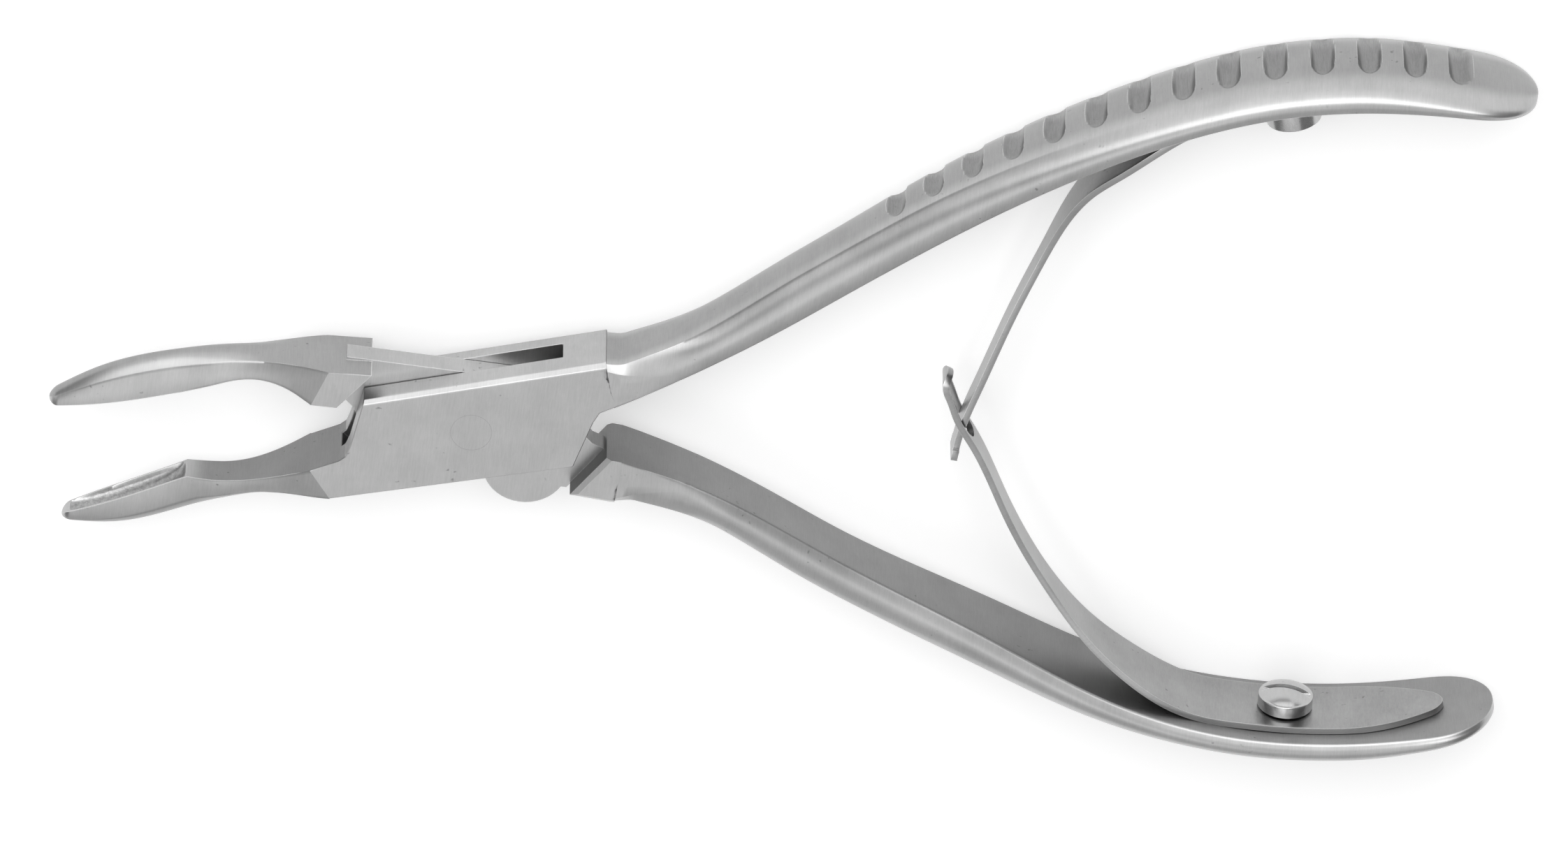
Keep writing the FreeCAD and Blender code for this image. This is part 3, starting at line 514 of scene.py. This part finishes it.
def trimmedCopy(name, node, grip, jaw, chamfers):
    # The forging's flat-sided middle: a merged copy of the node, cut off at the roots of its handle and jaw,
    # then along its chamfers, each a plane through three points
    form = plateForm
    turn = grip["side"] * instrument["halfTurn"]
    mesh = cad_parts[node].data.copy()
    mesh.name = name
    work = bmesh.new()
    work.from_mesh(mesh)
    bmesh.ops.remove_doubles(work, verts=work.verts, dist=form["mergeWithin"] * mm)
    roots = []
    for root, way in ((grip["root"], 1), (jaw["root"], -1)):
        first, second = turned(np.pad(root, ((0, 0), (0, 1))), turn)
        normal = np.array([second[1] - first[1], first[0] - second[0], 0])
        roots.append(cutAway(work, first, normal * np.sign(normal[0]) * way))
    for chamfer in chamfers:
        first, second, third = turned(chamfer, turn)
        normal = np.cross(second - first, third - first)
        cutAway(work, first, normal * np.sign(normal[1]))
    flat = math.radians(form["flatWithin"])
    bmesh.ops.dissolve_limit(work, angle_limit=flat, verts=work.verts, edges=work.edges)
    weighEdges(work, roots)
    markShadedFaces(work)
    work.to_mesh(mesh)
    work.free()
    smoothByAngle(mesh, form["sharpAngle"])
    piece = newObject(name, mesh)
    addBevel(piece, form["edgeRound"], form["edgeSegments"])
    settle(piece)
    return piece


def makeForging(name, node, grip, jaw, chamfers=()):
    # One half: middle, handle and jaw in one mesh
    middle = trimmedCopy(name, node, grip, jaw, chamfers)
    joinInto(middle, [makeHandle(name + "_handle", grip), makeJaw(name + "_jaw", jaw)])
    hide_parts(node)
    return middle


nearChamfer = np.array(plateForm["boxChamfer"])
farChamfer = nearChamfer * (1, 1, -1) + (0, 0, instrument["thickness"])
boxForging = makeForging("box_forging", "box_half", upperGrip, lowerJaw, [nearChamfer, farChamfer])
tongueForging = makeForging("tongue_forging", "tongue_half", lowerGrip, upperJaw)
print("forgings made:", len(boxForging.data.polygons), len(tongueForging.data.polygons))


# Leaf springs

bladeForm = {
    "thickness": 0.65, "seatHalf": 3.8, "widening": (0.33, 0.62), "seatGap": 0.06, "screwReach": 84.1,
    "tail": 9.5, "tailNarrowing": 0.72, "tailNose": 0.12,
    "edgeRound": 0.1, "edgeSegments": 3, "edgeAngle": 50, "sharpAngle": 35,
    "stations": 120, "tailStations": 22, "tailFirst": 0.08,
}
upperBlade = {
    "side": 1, "grip": upperGrip, "tip": (46.7, -4.6), "lift": 9.5, "endGap": 8.4, "tipHalf": 1.3,
    "bow": [(0.08, 1.18), (0.18, 2.06), (0.36, 3.48), (0.555, 4.6), (0.745, 4.59), (0.82, 3.45)],
    "hookHalf": 1.65, "hookStart": 0.3, "hookLength": 1.1, "hookStep": 0.002, "neckStart": 0.5,
    "columns": 17,
}
lowerBlade = {
    "side": -1, "grip": lowerGrip, "tip": (46.5, 5.2), "lift": 9.0, "endGap": 4.9, "tipHalf": 1.75,
    "bow": [(0.015, 1.05), (0.05, 1.6), (0.1, 2.2), (0.17, 2.51), (0.35, 3.94), (0.6, 5.05),
            (0.745, 4.58), (0.84, 3.53)],
    "eyeWall": 1.3, "eyeLength": 7.2, "eyeHalf": 1.45, "ringGap": 1.6, "rings": 5,
    "columns": 25,
}


def seatOf(blade):
    # Where the screw stands on the handle: the distance along it at which it comes to the given x
    spline = splineThrough([blade["grip"]["root"][0]] + blade["grip"]["line"])
    return spline, float(np.interp(bladeForm["screwReach"], spline["place"][:, 0], spline["run"]))


def bladeLine(blade):
    # Tip, then tip + share * chord + bow, then along the handle's inner face at the seat gap
    spline, seat = seatOf(blade)
    end = spline["length"] - blade["endGap"]
    start = seat - blade["lift"]
    places = np.array([start, seat - blade["lift"] / 2, seat, (seat + end) / 2, end])
    foot, tangent = alongSpline(spline, places)
    inward = np.stack([tangent[:, 1], -tangent[:, 0]], -1) * blade["side"]
    resting = np.pad(foot + inward * bladeForm["seatGap"], ((0, 0), (0, 1)))
    resting = turned(resting, blade["side"] * instrument["halfTurn"])[:, :2]
    tip = np.array(blade["tip"])
    chord = resting[0] - tip
    aside = np.array([-chord[1], chord[0]]) / np.linalg.norm(chord) * blade["side"]
    free = [tip + chord * share + aside * bow for share, bow in blade["bow"]]
    return splineThrough([tip] + free + list(resting))


def bladeHalf(along, length, tipHalf):
    # tip + (seat - tip) smoothStep(a / length), times the tip's quarter circle and the tail's
    # (1 - n q^2) with a short quarter circle at its end, q being the share of the tail
    form = bladeForm
    half = tipHalf + (form["seatHalf"] - tipHalf) * smoothStep(along / length, *form["widening"])
    toTip = np.clip(1 - along / tipHalf, 0, 1)
    toTail = np.clip(1 - (length - along) / form["tail"], 0, 1)
    nose = np.clip((toTail - 1 + form["tailNose"]) / form["tailNose"], 0, 1)
    return half * np.sqrt(1 - toTip**2) * (1 - form["tailNarrowing"] * toTail**2) * np.sqrt(1 - nose**2)


def bladeStations(start, length):
    # Distances from start to the rounded end, close together in its short quarter circle
    form = bladeForm
    ends = 1 - np.cos(np.linspace(form["tailFirst"], np.pi / 2, form["tailStations"]))
    return np.concatenate([np.linspace(start, length - form["tail"], form["stations"]),
                           (length - form["tail"] * ends)[::-1][1:]])


def layBlade(spline, along, across):
    # The flat blade (a, w) bent onto its line: (x, y) = line(a), z = midPlane + w
    return np.concatenate([alongSpline(spline, along)[0], (midPlane + across)[..., None]], -1)


def makeBlade(name, points, faces):
    # The sheet's faces turned away from the jaws, then its thickness on that side and rounded edges
    form = bladeForm
    piece = makePiece(name, points, faces)
    work = bmesh.new()
    work.from_mesh(piece.data)
    if sum(face.normal.x * face.calc_area() for face in work.faces) < 0:
        bmesh.ops.reverse_faces(work, faces=work.faces)
    work.to_mesh(piece.data)
    work.free()
    wall = piece.modifiers.new("thickness", "SOLIDIFY")
    wall.thickness = form["thickness"] * mm
    wall.offset = 1
    addBevel(piece, form["edgeRound"], form["edgeSegments"], form["edgeAngle"])
    settle(piece)
    smoothByAngle(piece.data, form["sharpAngle"])
    return piece


def makeUpperBlade():
    # Strip a in [0, L], w = t h(a) with t in [-1, 1]; the cross end is wider between its two edges
    blade, columns = upperBlade, upperBlade["columns"]
    spline = bladeLine(blade)
    start, stop = blade["hookStart"], blade["hookStart"] + blade["hookLength"]
    along = np.concatenate([[start, stop, stop + blade["hookStep"]],
                            bladeStations(stop + blade["neckStart"], spline["length"])])
    half = bladeHalf(along, spline["length"], blade["tipHalf"])
    half[:2] = blade["hookHalf"]
    half[2] = blade["tipHalf"]
    across = half[:, None] * np.linspace(-1, 1, columns)
    points = layBlade(spline, np.repeat(along[:, None], columns, 1), across)
    return makeBlade("upper_blade", points, gridFaces(len(along), columns))


def makeLowerBlade():
    # Rings round the eye, (1 - k) eye(t) + k outline(t), then a plain strip from the last ring's edge on
    blade, columns = lowerBlade, lowerBlade["columns"]
    spline = bladeLine(blade)
    length, tipHalf, eyeHalf = spline["length"], blade["tipHalf"], blade["eyeHalf"]
    straight = blade["eyeLength"] / 2 - eyeHalf
    middle = blade["eyeWall"] + blade["eyeLength"] / 2
    ringEnd = blade["eyeWall"] + blade["eyeLength"] + blade["ringGap"]
    bends, sides = np.linspace(-np.pi / 2, np.pi / 2, columns), np.linspace(-1, 1, columns)
    # four stretches each: handle end, one side, tip end, other side
    eyeAlong = np.concatenate([middle + straight + eyeHalf * np.cos(bends), middle - straight * sides,
                               middle - straight - eyeHalf * np.cos(bends), middle + straight * sides])
    eyeAcross = np.concatenate([eyeHalf * np.sin(bends), np.full(columns, eyeHalf),
                                -eyeHalf * np.sin(bends), np.full(columns, -eyeHalf)])
    toTip = ringEnd + (tipHalf - ringEnd) * (sides + 1) / 2
    endHalf = bladeHalf(np.array([ringEnd]), length, tipHalf)[0]
    outAlong = np.concatenate([np.full(columns, ringEnd), toTip, tipHalf * (1 - np.cos(bends)), toTip[::-1]])
    outAcross = np.concatenate([endHalf * sides, bladeHalf(toTip, length, tipHalf),
                                -tipHalf * np.sin(bends), -bladeHalf(toTip[::-1], length, tipHalf)])
    share = np.linspace(0, 1, blade["rings"])[:, None]
    rings = layBlade(spline, (1 - share) * eyeAlong + share * outAlong,
                     (1 - share) * eyeAcross + share * outAcross)
    along = bladeStations(ringEnd, length)
    across = bladeHalf(along, length, tipHalf)[:, None] * sides
    strip = layBlade(spline, np.repeat(along[:, None], columns, 1), across)
    points = np.concatenate([rings.reshape(-1, 3), strip.reshape(-1, 3)])
    ringFaces = gridFaces(blade["rings"], 4 * columns, closed=True)
    stripFaces = gridFaces(len(along), columns) + blade["rings"] * 4 * columns
    return makeBlade("lower_blade", points, np.concatenate([ringFaces, stripFaces]))


upperSpring, lowerSpring = makeUpperBlade(), makeLowerBlade()
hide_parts("upper_leaf_spring")
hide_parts("lower_leaf_spring")
print("leaf springs made")


# Screws

screwForm = {
    "headRadius": 2.7, "dome": 1.0, "edge": 0.14, "slotWidth": 0.7, "slotDepth": 0.8, "slotTurn": 9.0,
    "shankRadius": 1.1, "shankLength": 2.4, "headGap": 0.15, "core": 1e-4,
    "side": {"upper_screw": 2.3, "lower_screw": 1.25},
    "cutterRoom": (1.0, 3.0),    # how far the slot's cutter stands out, along the slot and upwards
    "steps": 120, "domeSteps": 26, "cornerSteps": 6,
    "edgeRound": 0.05, "edgeSegments": 2, "edgeAngle": 45, "sharpAngle": 35,
}
boxFaces = [(0, 1, 3, 2), (4, 6, 7, 5), (0, 4, 5, 1), (2, 3, 7, 6), (0, 2, 6, 4), (1, 5, 7, 3)]


def lathePoints(profile, steps):
    # The profile (r, z) turned round: (r cos t, r sin t, z)
    bend = np.linspace(0, 2 * np.pi, steps, endpoint=False)
    r, z = np.array(profile, float).T[..., None]
    return np.stack([r * np.cos(bend), r * np.sin(bend), z + 0 * bend], -1)


def placeScrew(points, blade):
    # Stood on the blade: z along the handle's inward normal, the slot turned from the handle's direction
    side = blade["side"]
    spline, seat = seatOf(blade)
    foot, tangent = (array[0] for array in alongSpline(spline, np.array([seat])))
    drawn = [(*foot, 0), (*tangent, 0), (tangent[1] * side, -tangent[0] * side, 0)]
    foot, along, inward = turned(drawn, side * instrument["halfTurn"])
    angle = math.radians(screwForm["slotTurn"]) * side
    slotWay = along * math.cos(angle) + np.cross(inward, along) * math.sin(angle)
    lift = bladeForm["seatGap"] + bladeForm["thickness"] + screwForm["headGap"]
    base = foot + inward * lift + np.array([0, 0, midPlane])
    return points @ np.stack([slotWay, np.cross(inward, slotWay), inward]) + base


def screwProfile(side):
    # Shank, head and domed top, z = side + sqrt(R^2 - r^2) - (R - dome), with a rounded corner
    form = screwForm
    radius, dome, edge, core = form["headRadius"], form["dome"], form["edge"], form["core"]
    ball = (radius**2 + dome**2) / (2 * dome)
    r = np.linspace(radius - edge, core, form["domeSteps"])
    domeZ = side + np.sqrt(ball**2 - r**2) - (ball - dome)
    corner = np.linspace(0, np.pi / 2, form["cornerSteps"])[:-1]
    profile = [(core, -form["shankLength"]), (form["shankRadius"], -form["shankLength"]),
               (form["shankRadius"], 0), (radius - edge, 0), (radius, edge)]
    profile += list(zip(radius - edge + edge * np.cos(corner), domeZ[0] - edge + edge * np.sin(corner)))
    return profile + list(zip(r, domeZ))


def makeScrew(name, node, blade):
    # The turned profile less its slot
    form = screwForm
    side = form["side"][name]
    profile = screwProfile(side)
    piece = makePiece(name, placeScrew(lathePoints(profile, form["steps"]), blade),
                      gridFaces(len(profile), form["steps"], closed=True))
    room, above = form["cutterRoom"]
    x, y, z = form["headRadius"] + room, form["slotWidth"] / 2, side + form["dome"] - form["slotDepth"]
    corners = np.array([(i, j, k) for i in (-x, x) for j in (-y, y) for k in (z, z + above)])
    cutter = makePiece("slotCutter", placeScrew(corners, blade), boxFaces)
    slot = piece.modifiers.new("slot", "BOOLEAN")
    slot.operation = "DIFFERENCE"
    slot.object = cutter
    addBevel(piece, form["edgeRound"], form["edgeSegments"], form["edgeAngle"])
    settle(piece)
    bpy.data.objects.remove(cutter)
    smoothByAngle(piece.data, form["sharpAngle"])
    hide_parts(node)
    return piece


upperScrew = makeScrew("upper_screw", "upper_spring_screw", upperBlade)
lowerScrew = makeScrew("lower_screw", "lower_spring_screw", lowerBlade)
print("screws made")


# Materials

# A noise is given as its scale, detail and roughness
grainForm = {
    "coarse": (1.0, 4.0, 0.6), "fine": (2.7, 2.0, 0.5), "coarseShare": 0.6,
    "clouds": (1.0, 5.0, 0.62), "cloudSize": 5.0,
    "specks": (1900.0, 1.0, 0.4), "speckRange": (0.30, 0.22),
    "rare": (260.0, 1.0, 0.5), "rareRange": (0.56, 0.62), "pitTone": 0.6,
    "lineShare": 0.5, "spread": (0.36, 0.64), "bumpReach": 0.02,
    "wearAndHighlightGain": 5.0, "wearSamples": 6, "wearSmooth": 0.06,
}
# edge is the grey that the edges take: part wear, part painted highlight
steelFinishes = {
    "forgedSteel": {"tone": (0.40, 0.50), "edge": 0.72, "rough": 0.34, "roughSwing": 0.16,
                    "turn": (0, 0, 0.12), "cell": (0.13, 2.2, 2.2), "bump": 0.10, "edgeRadius": 0.16},
    "springSteel": {"tone": (0.29, 0.38), "edge": 0.70, "rough": 0.30, "roughSwing": 0.12,
                    "turn": (0, 0, 1.1), "cell": (0.09, 4.0, 1.2), "bump": 0.06, "edgeRadius": 0.12},
    "screwSteel": {"tone": (0.44, 0.54), "edge": 0.78, "rough": 0.24, "roughSwing": 0.10,
                   "turn": (0, 0, 0.0), "cell": (0.12, 0.5, 2.0), "bump": 0.06, "edgeRadius": 0.10},
}
forgedMarks = {
    # streaked flutes and blotched cups, darkened there also as painted shade in the hollows: noise cells, the
    # part of the noise that is used, and its tones
    "patterns": {"flutedStreaksAndShade": {"cell": (0.10, 0.10, 5.0), "spread": (0.35, 0.65), "tone": (0.60, 0.82)},
                 "cuppedBlotchesAndShade": {"cell": (0.5, 0.35, 0.5), "spread": (0.38, 0.62), "tone": (0.60, 1.00)}},
    # painted shade on the inner faces of handles and jaws, on crowned backs and on faces that look at the
    # other half
    "shadeTones": {"innerFaceShade": 0.62, "backFaceShade": 0.74, "facingShade": 0.60},
    "innerRough": 0.12,
    "pinKeep": (2.25, 2.5),     # no brightened edge (part wear, part painted highlight) near the pivot, where the pin is ground flush
    "rootAt": 14.5,             # nor where jaws and handles leave the middle
    "rootKeep": (2.0, 2.8),
}


def feed(sockets, values):
    # Values by the name or number of their socket, linked or set
    for label, value in dict(values).items():
        if isinstance(value, bpy.types.NodeSocket):
            value.id_data.links.new(value, sockets[label])
        else:
            sockets[label].default_value = value


def mathNode(tree, operation, *values, clamp=False):
    node = tree.nodes.new("ShaderNodeMath")
    node.operation = operation
    node.use_clamp = clamp
    feed(node.inputs, enumerate(values))
    return node.outputs[0]


def product(tree, first, *others):
    for other in others:
        first = mathNode(tree, "MULTIPLY", first, other)
    return first


def vectorNode(tree, operation, values):
    node = tree.nodes.new("ShaderNodeVectorMath")
    node.operation = operation
    feed(node.inputs, values)
    return node.outputs["Value" if operation in ("LENGTH", "DOT_PRODUCT") else "Vector"]


def mixValue(tree, share, first, second):
    node = tree.nodes.new("ShaderNodeMix")
    node.data_type = "FLOAT"
    feed(node.inputs, {0: share, 2: first, 3: second})
    return node.outputs[0]


def rangeNode(tree, value, low, high, newLow=0.0, newHigh=1.0):
    node = tree.nodes.new("ShaderNodeMapRange")
    feed(node.inputs, enumerate((value, low, high, newLow, newHigh)))
    return node.outputs["Result"]


def noiseNode(tree, vector, scale, detail, roughness):
    node = tree.nodes.new("ShaderNodeTexNoise")
    feed(node.inputs, {"Vector": vector, "Scale": scale, "Detail": detail, "Roughness": roughness})
    return node.outputs["Fac"]


def attributeNode(tree, label):
    node = tree.nodes.new("ShaderNodeAttribute")
    node.attribute_type = "GEOMETRY"
    node.attribute_name = label
    return node.outputs["Fac"]


def groupNode(tree, group, values):
    node = tree.nodes.new("ShaderNodeGroup")
    node.node_tree = group
    feed(node.inputs, values)
    return node.outputs


def newGroup(name, inputs, outputs):
    # A shader node group with named sockets, given as label: kind
    group = bpy.data.node_groups.new(name, "ShaderNodeTree")
    for way, sockets in (("INPUT", inputs), ("OUTPUT", outputs)):
        for label, kind in sockets.items():
            group.interface.new_socket(label, in_out=way, socket_type="NodeSocket" + kind)
    return group, group.nodes.new("NodeGroupInput").outputs, group.nodes.new("NodeGroupOutput").inputs


def grindingGroup():
    # Grinding lines: noise in cells drawn out along one axis, a finer set over a coarser one
    form = grainForm
    inputs = {"Vector": "Vector", "Turn": "Vector", "Cell Size": "Vector"}
    group, source, sink = newGroup("grindingLines", inputs, {"Lines": "Float"})
    spin = group.nodes.new("ShaderNodeVectorRotate")
    spin.rotation_type = "EULER_XYZ"
    feed(spin.inputs, {"Vector": source["Vector"], "Rotation": source["Turn"]})
    cell = vectorNode(group, "SCALE", {0: source["Cell Size"], "Scale": mm})
    share = vectorNode(group, "DIVIDE", {0: spin.outputs["Vector"], 1: cell})
    coarse = product(group, noiseNode(group, share, *form["coarse"]), form["coarseShare"])
    fine = product(group, noiseNode(group, share, *form["fine"]), 1 - form["coarseShare"])
    feed(sink, {"Lines": mathNode(group, "ADD", coarse, fine)})
    return group


def cloudGroup():
    # Soft uneven tone, and sparse small pits where a fine noise is at its lowest
    form = grainForm
    group, source, sink = newGroup("cloudsAndPits", {"Vector": "Vector", "Cloud Size": "Float"},
                                   {"Clouds": "Float", "Pits": "Float"})
    perSize = mathNode(group, "DIVIDE", 1 / mm, source["Cloud Size"])
    place = vectorNode(group, "SCALE", {0: source["Vector"], "Scale": perSize})
    speck = rangeNode(group, noiseNode(group, source["Vector"], *form["specks"]), *form["speckRange"])
    rare = rangeNode(group, noiseNode(group, source["Vector"], *form["rare"]), *form["rareRange"])
    feed(sink, {"Clouds": noiseNode(group, place, *form["clouds"]), "Pits": product(group, speck, rare)})
    return group


def edgeWearAndHighlightGroup():
    # Worn edges with a painted highlight: gain (1 - dot(rounded normal, true normal)), at most 1, rounded
    # over the radius
    group, source, sink = newGroup("wornEdgesAndHighlight", {"Radius": "Float", "Gain": "Float"}, {"Mask": "Float"})
    rounded = group.nodes.new("ShaderNodeBevel")
    rounded.samples = grainForm["wearSamples"]
    feed(rounded.inputs, {"Radius": source["Radius"]})
    true = group.nodes.new("ShaderNodeNewGeometry").outputs["Normal"]
    alike = vectorNode(group, "DOT_PRODUCT", {0: rounded.outputs["Normal"], 1: true})
    away = mathNode(group, "SUBTRACT", 1.0, alike)
    feed(sink, {"Mask": mathNode(group, "MULTIPLY", away, source["Gain"], clamp=True)})
    return group


grinding, clouds, wornAndHighlight = grindingGroup(), cloudGroup(), edgeWearAndHighlightGroup()


def awayFromJoint(tree, vector):
    # 0 round the pivot axis and where jaws and handles are blended into the middle, and 1 elsewhere
    marks = forgedMarks
    pin = vectorNode(tree, "LENGTH", {0: vectorNode(tree, "MULTIPLY", {0: vector, 1: (1, 1, 0)})})
    apart = tree.nodes.new("ShaderNodeSeparateXYZ")
    feed(apart.inputs, {0: vector})
    root = mathNode(tree, "SUBTRACT", mathNode(tree, "ABSOLUTE", apart.outputs["X"]), marks["rootAt"] * mm)
    root = mathNode(tree, "ABSOLUTE", root)
    return product(tree, *(rangeNode(tree, distance, near * mm, far * mm)
                           for distance, (near, far) in ((pin, marks["pinKeep"]), (root, marks["rootKeep"]))))


def forgedTouches(tree, place, grey, rough, height):
    # What the marks on the forgings do to tone (streaks, blotches and painted shade), roughness and height
    # streaks and blotches over flutes and cups, darker there too as painted shade in these hollows
    for label, form in forgedMarks["patterns"].items():
        share = attributeNode(tree, label)
        pattern = groupNode(tree, grinding, {"Vector": place, "Cell Size": form["cell"]})["Lines"]
        tone = rangeNode(tree, pattern, *form["spread"], *form["tone"])
        grey = product(tree, grey, mixValue(tree, share, 1.0, tone))
        height = mixValue(tree, share, height, pattern)
    # painted shade on inner faces, crowned backs and faces that look to +y
    for label, tone in forgedMarks["shadeTones"].items():
        grey = product(tree, grey, mixValue(tree, attributeNode(tree, label), 1.0, tone))
    duller = product(tree, attributeNode(tree, "innerFaceShade"), forgedMarks["innerRough"])
    return grey, mathNode(tree, "ADD", rough, duller), height


def steelMaterial(name, marked=False):
    # Ground steel: grain in tone, roughness and height, and brighter, smoother edges, part wear and part
    # painted highlight
    finish, form = steelFinishes[name], grainForm
    material = bpy.data.materials.new(name)
    material.use_nodes = True
    tree = material.node_tree
    shader = tree.nodes["Principled BSDF"].inputs
    place = tree.nodes.new("ShaderNodeTexCoord").outputs["Object"]
    grain = {"Vector": place, "Turn": finish["turn"], "Cell Size": finish["cell"]}
    lines = groupNode(tree, grinding, grain)["Lines"]
    soft = groupNode(tree, clouds, {"Vector": place, "Cloud Size": form["cloudSize"]})
    wearAndHighlight = groupNode(tree, wornAndHighlight, {"Radius": finish["edgeRadius"] * mm, "Gain": form["wearAndHighlightGain"]})["Mask"]
    mixed = mixValue(tree, form["lineShare"], soft["Clouds"], lines)
    grey = rangeNode(tree, mixed, *form["spread"], *finish["tone"])
    swing = product(tree, mathNode(tree, "SUBTRACT", mixed, 0.5), finish["roughSwing"])
    rough = mathNode(tree, "ADD", swing, finish["rough"])
    height = lines
    if marked:
        grey, rough, height = forgedTouches(tree, place, grey, rough, height)
        wearAndHighlight = product(tree, wearAndHighlight, awayFromJoint(tree, place))
    grey = product(tree, grey, rangeNode(tree, soft["Pits"], 0, 1, 1.0, form["pitTone"]))
    # edges mixed towards the brighter edge grey: part wear, part painted highlight
    grey = mixValue(tree, wearAndHighlight, grey, finish["edge"])
    colour = tree.nodes.new("ShaderNodeCombineColor")
    feed(colour.inputs, {"Red": grey, "Green": grey, "Blue": grey})
    rough = mathNode(tree, "SUBTRACT", rough, product(tree, wearAndHighlight, form["wearSmooth"]), clamp=True)
    bump = tree.nodes.new("ShaderNodeBump")
    feed(bump.inputs, {"Strength": finish["bump"], "Distance": form["bumpReach"] * mm, "Height": height})
    feed(shader, {"Metallic": 1.0, "Base Color": colour.outputs["Color"], "Roughness": rough,
                  "Normal": bump.outputs["Normal"]})
    return material


dressed = {"forgedSteel": (boxForging, tongueForging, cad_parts["pivot_pin"]),
           "springSteel": (upperSpring, lowerSpring), "screwSteel": (upperScrew, lowerScrew)}
for finishName, pieces in dressed.items():
    steel = steelMaterial(finishName, marked=finishName == "forgedSteel")
    for piece in pieces:
        piece.data.materials.clear()
        piece.data.materials.append(steel)
print("materials made")

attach(boxForging, "box_half")
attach(tongueForging, "tongue_half")
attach(upperScrew, "box_half")
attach(lowerScrew, "tongue_half")
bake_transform(upperSpring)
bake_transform(lowerSpring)


# Floor, light and camera, in metres but for the camera's place, width and sensor

stageForm = {
    "reach": 1.6, "below": 0.00002, "pale": 0.86, "rough": 0.9, "glow": 0.32, "surround": 0.25,
    "lampAway": 0.9,
}
lamps = {
    "farSide": {"towards": (-0.05, 0.62, 0.78), "size": (1.0, 0.55), "radiance": 2.7},
    "overhead": {"towards": (-0.05, 0.02, 1.0), "size": (1.0, 0.5), "radiance": 1.0},
    "nearSide": {"towards": (-0.05, -0.6, 0.8), "size": (1.0, 0.55), "radiance": 0.6},
    "lowFar": {"towards": (-0.05, 0.95, 0.3), "size": (1.2, 0.5), "radiance": 1.2},
    "lowNear": {"towards": (-0.05, -0.95, 0.3), "size": (1.2, 0.5), "radiance": 0.45},
    "jawSide": {"towards": (-0.95, 0.05, 0.4), "size": (0.5, 0.9), "radiance": 0.7},
}
cameraForm = {
    "target": (30.5, -2.0, 3.5), "tilt": 32.0, "away": 2000.0, "width": 153.2, "sensor": 36.0,
    "clip": (0.05, 20.0),
}


def makeFloor():
    # A pale plane just under the instrument; a glow for eye and reflections brings it near white
    form = stageForm
    reach, low = form["reach"], cadBounds[0].z - form["below"]
    mesh = bpy.data.meshes.new("floor")
    mesh.from_pydata([(-reach, -reach, low), (reach, -reach, low), (reach, reach, low), (-reach, reach, low)],
                     [], [(0, 1, 2, 3)])
    floor = newObject("floor", mesh)
    material = bpy.data.materials.new("paleFloor")
    material.use_nodes = True
    tree = material.node_tree
    shader = tree.nodes["Principled BSDF"].inputs
    rays = tree.nodes.new("ShaderNodeLightPath").outputs
    bounced = mathNode(tree, "MAXIMUM", rays["Is Glossy Ray"], rays["Is Transmission Ray"])
    seen = mathNode(tree, "MAXIMUM", rays["Is Camera Ray"], bounced)
    feed(shader, {"Base Color": (form["pale"],) * 3 + (1,), "Roughness": form["rough"],
                  "Specular IOR Level": 0.0, "Emission Color": (1, 1, 1, 1),
                  "Emission Strength": product(tree, seen, form["glow"])})
    mesh.materials.append(material)


def makeLamp(name):
    # An area lamp that faces the instrument; its power is radiance x area x pi
    form = lamps[name]
    towards = Vector(form["towards"]).normalized()
    width, height = form["size"]
    data = bpy.data.lights.new(name, "AREA")
    data.shape = "RECTANGLE"
    data.size, data.size_y = width, height
    data.energy = form["radiance"] * width * height * math.pi
    lamp = newObject(name, data)
    lamp.location = towards * stageForm["lampAway"] + Vector(cameraForm["target"]) * mm
    lamp.rotation_mode = "QUATERNION"
    lamp.rotation_quaternion = towards.to_track_quat("Z", "Y")


def makeCamera():
    # A long lens that looks down at the tilt; its field is the photograph's width at the target
    form = cameraForm
    tilt = math.radians(form["tilt"])
    data = bpy.data.cameras.new("camera")
    data.sensor_width = form["sensor"]
    data.lens = form["sensor"] * form["away"] / form["width"]
    data.clip_start, data.clip_end = form["clip"]
    camera = newObject("camera", data)
    towards = Vector((0, math.sin(tilt), math.cos(tilt)))
    camera.location = (Vector(form["target"]) + towards * form["away"]) * mm
    camera.rotation_euler = (-tilt, 0, 0)
    bpy.context.scene.camera = camera


def makeWorld():
    # An even grey surround that the camera sees as white
    world = bpy.data.worlds.new("surround")
    world.use_nodes = True
    tree = world.node_tree
    rays = tree.nodes.new("ShaderNodeLightPath").outputs
    strength = mixValue(tree, rays["Is Camera Ray"], stageForm["surround"], 1.0)
    feed(tree.nodes["Background"].inputs, {"Color": (1, 1, 1, 1), "Strength": strength})
    bpy.context.scene.world = world


makeFloor()
for lampName in lamps:
    makeLamp(lampName)
makeCamera()
makeWorld()
bpy.context.scene.view_settings.view_transform = "Standard"
print("stage, lamps and camera made")

bpy.context.view_layer.update()
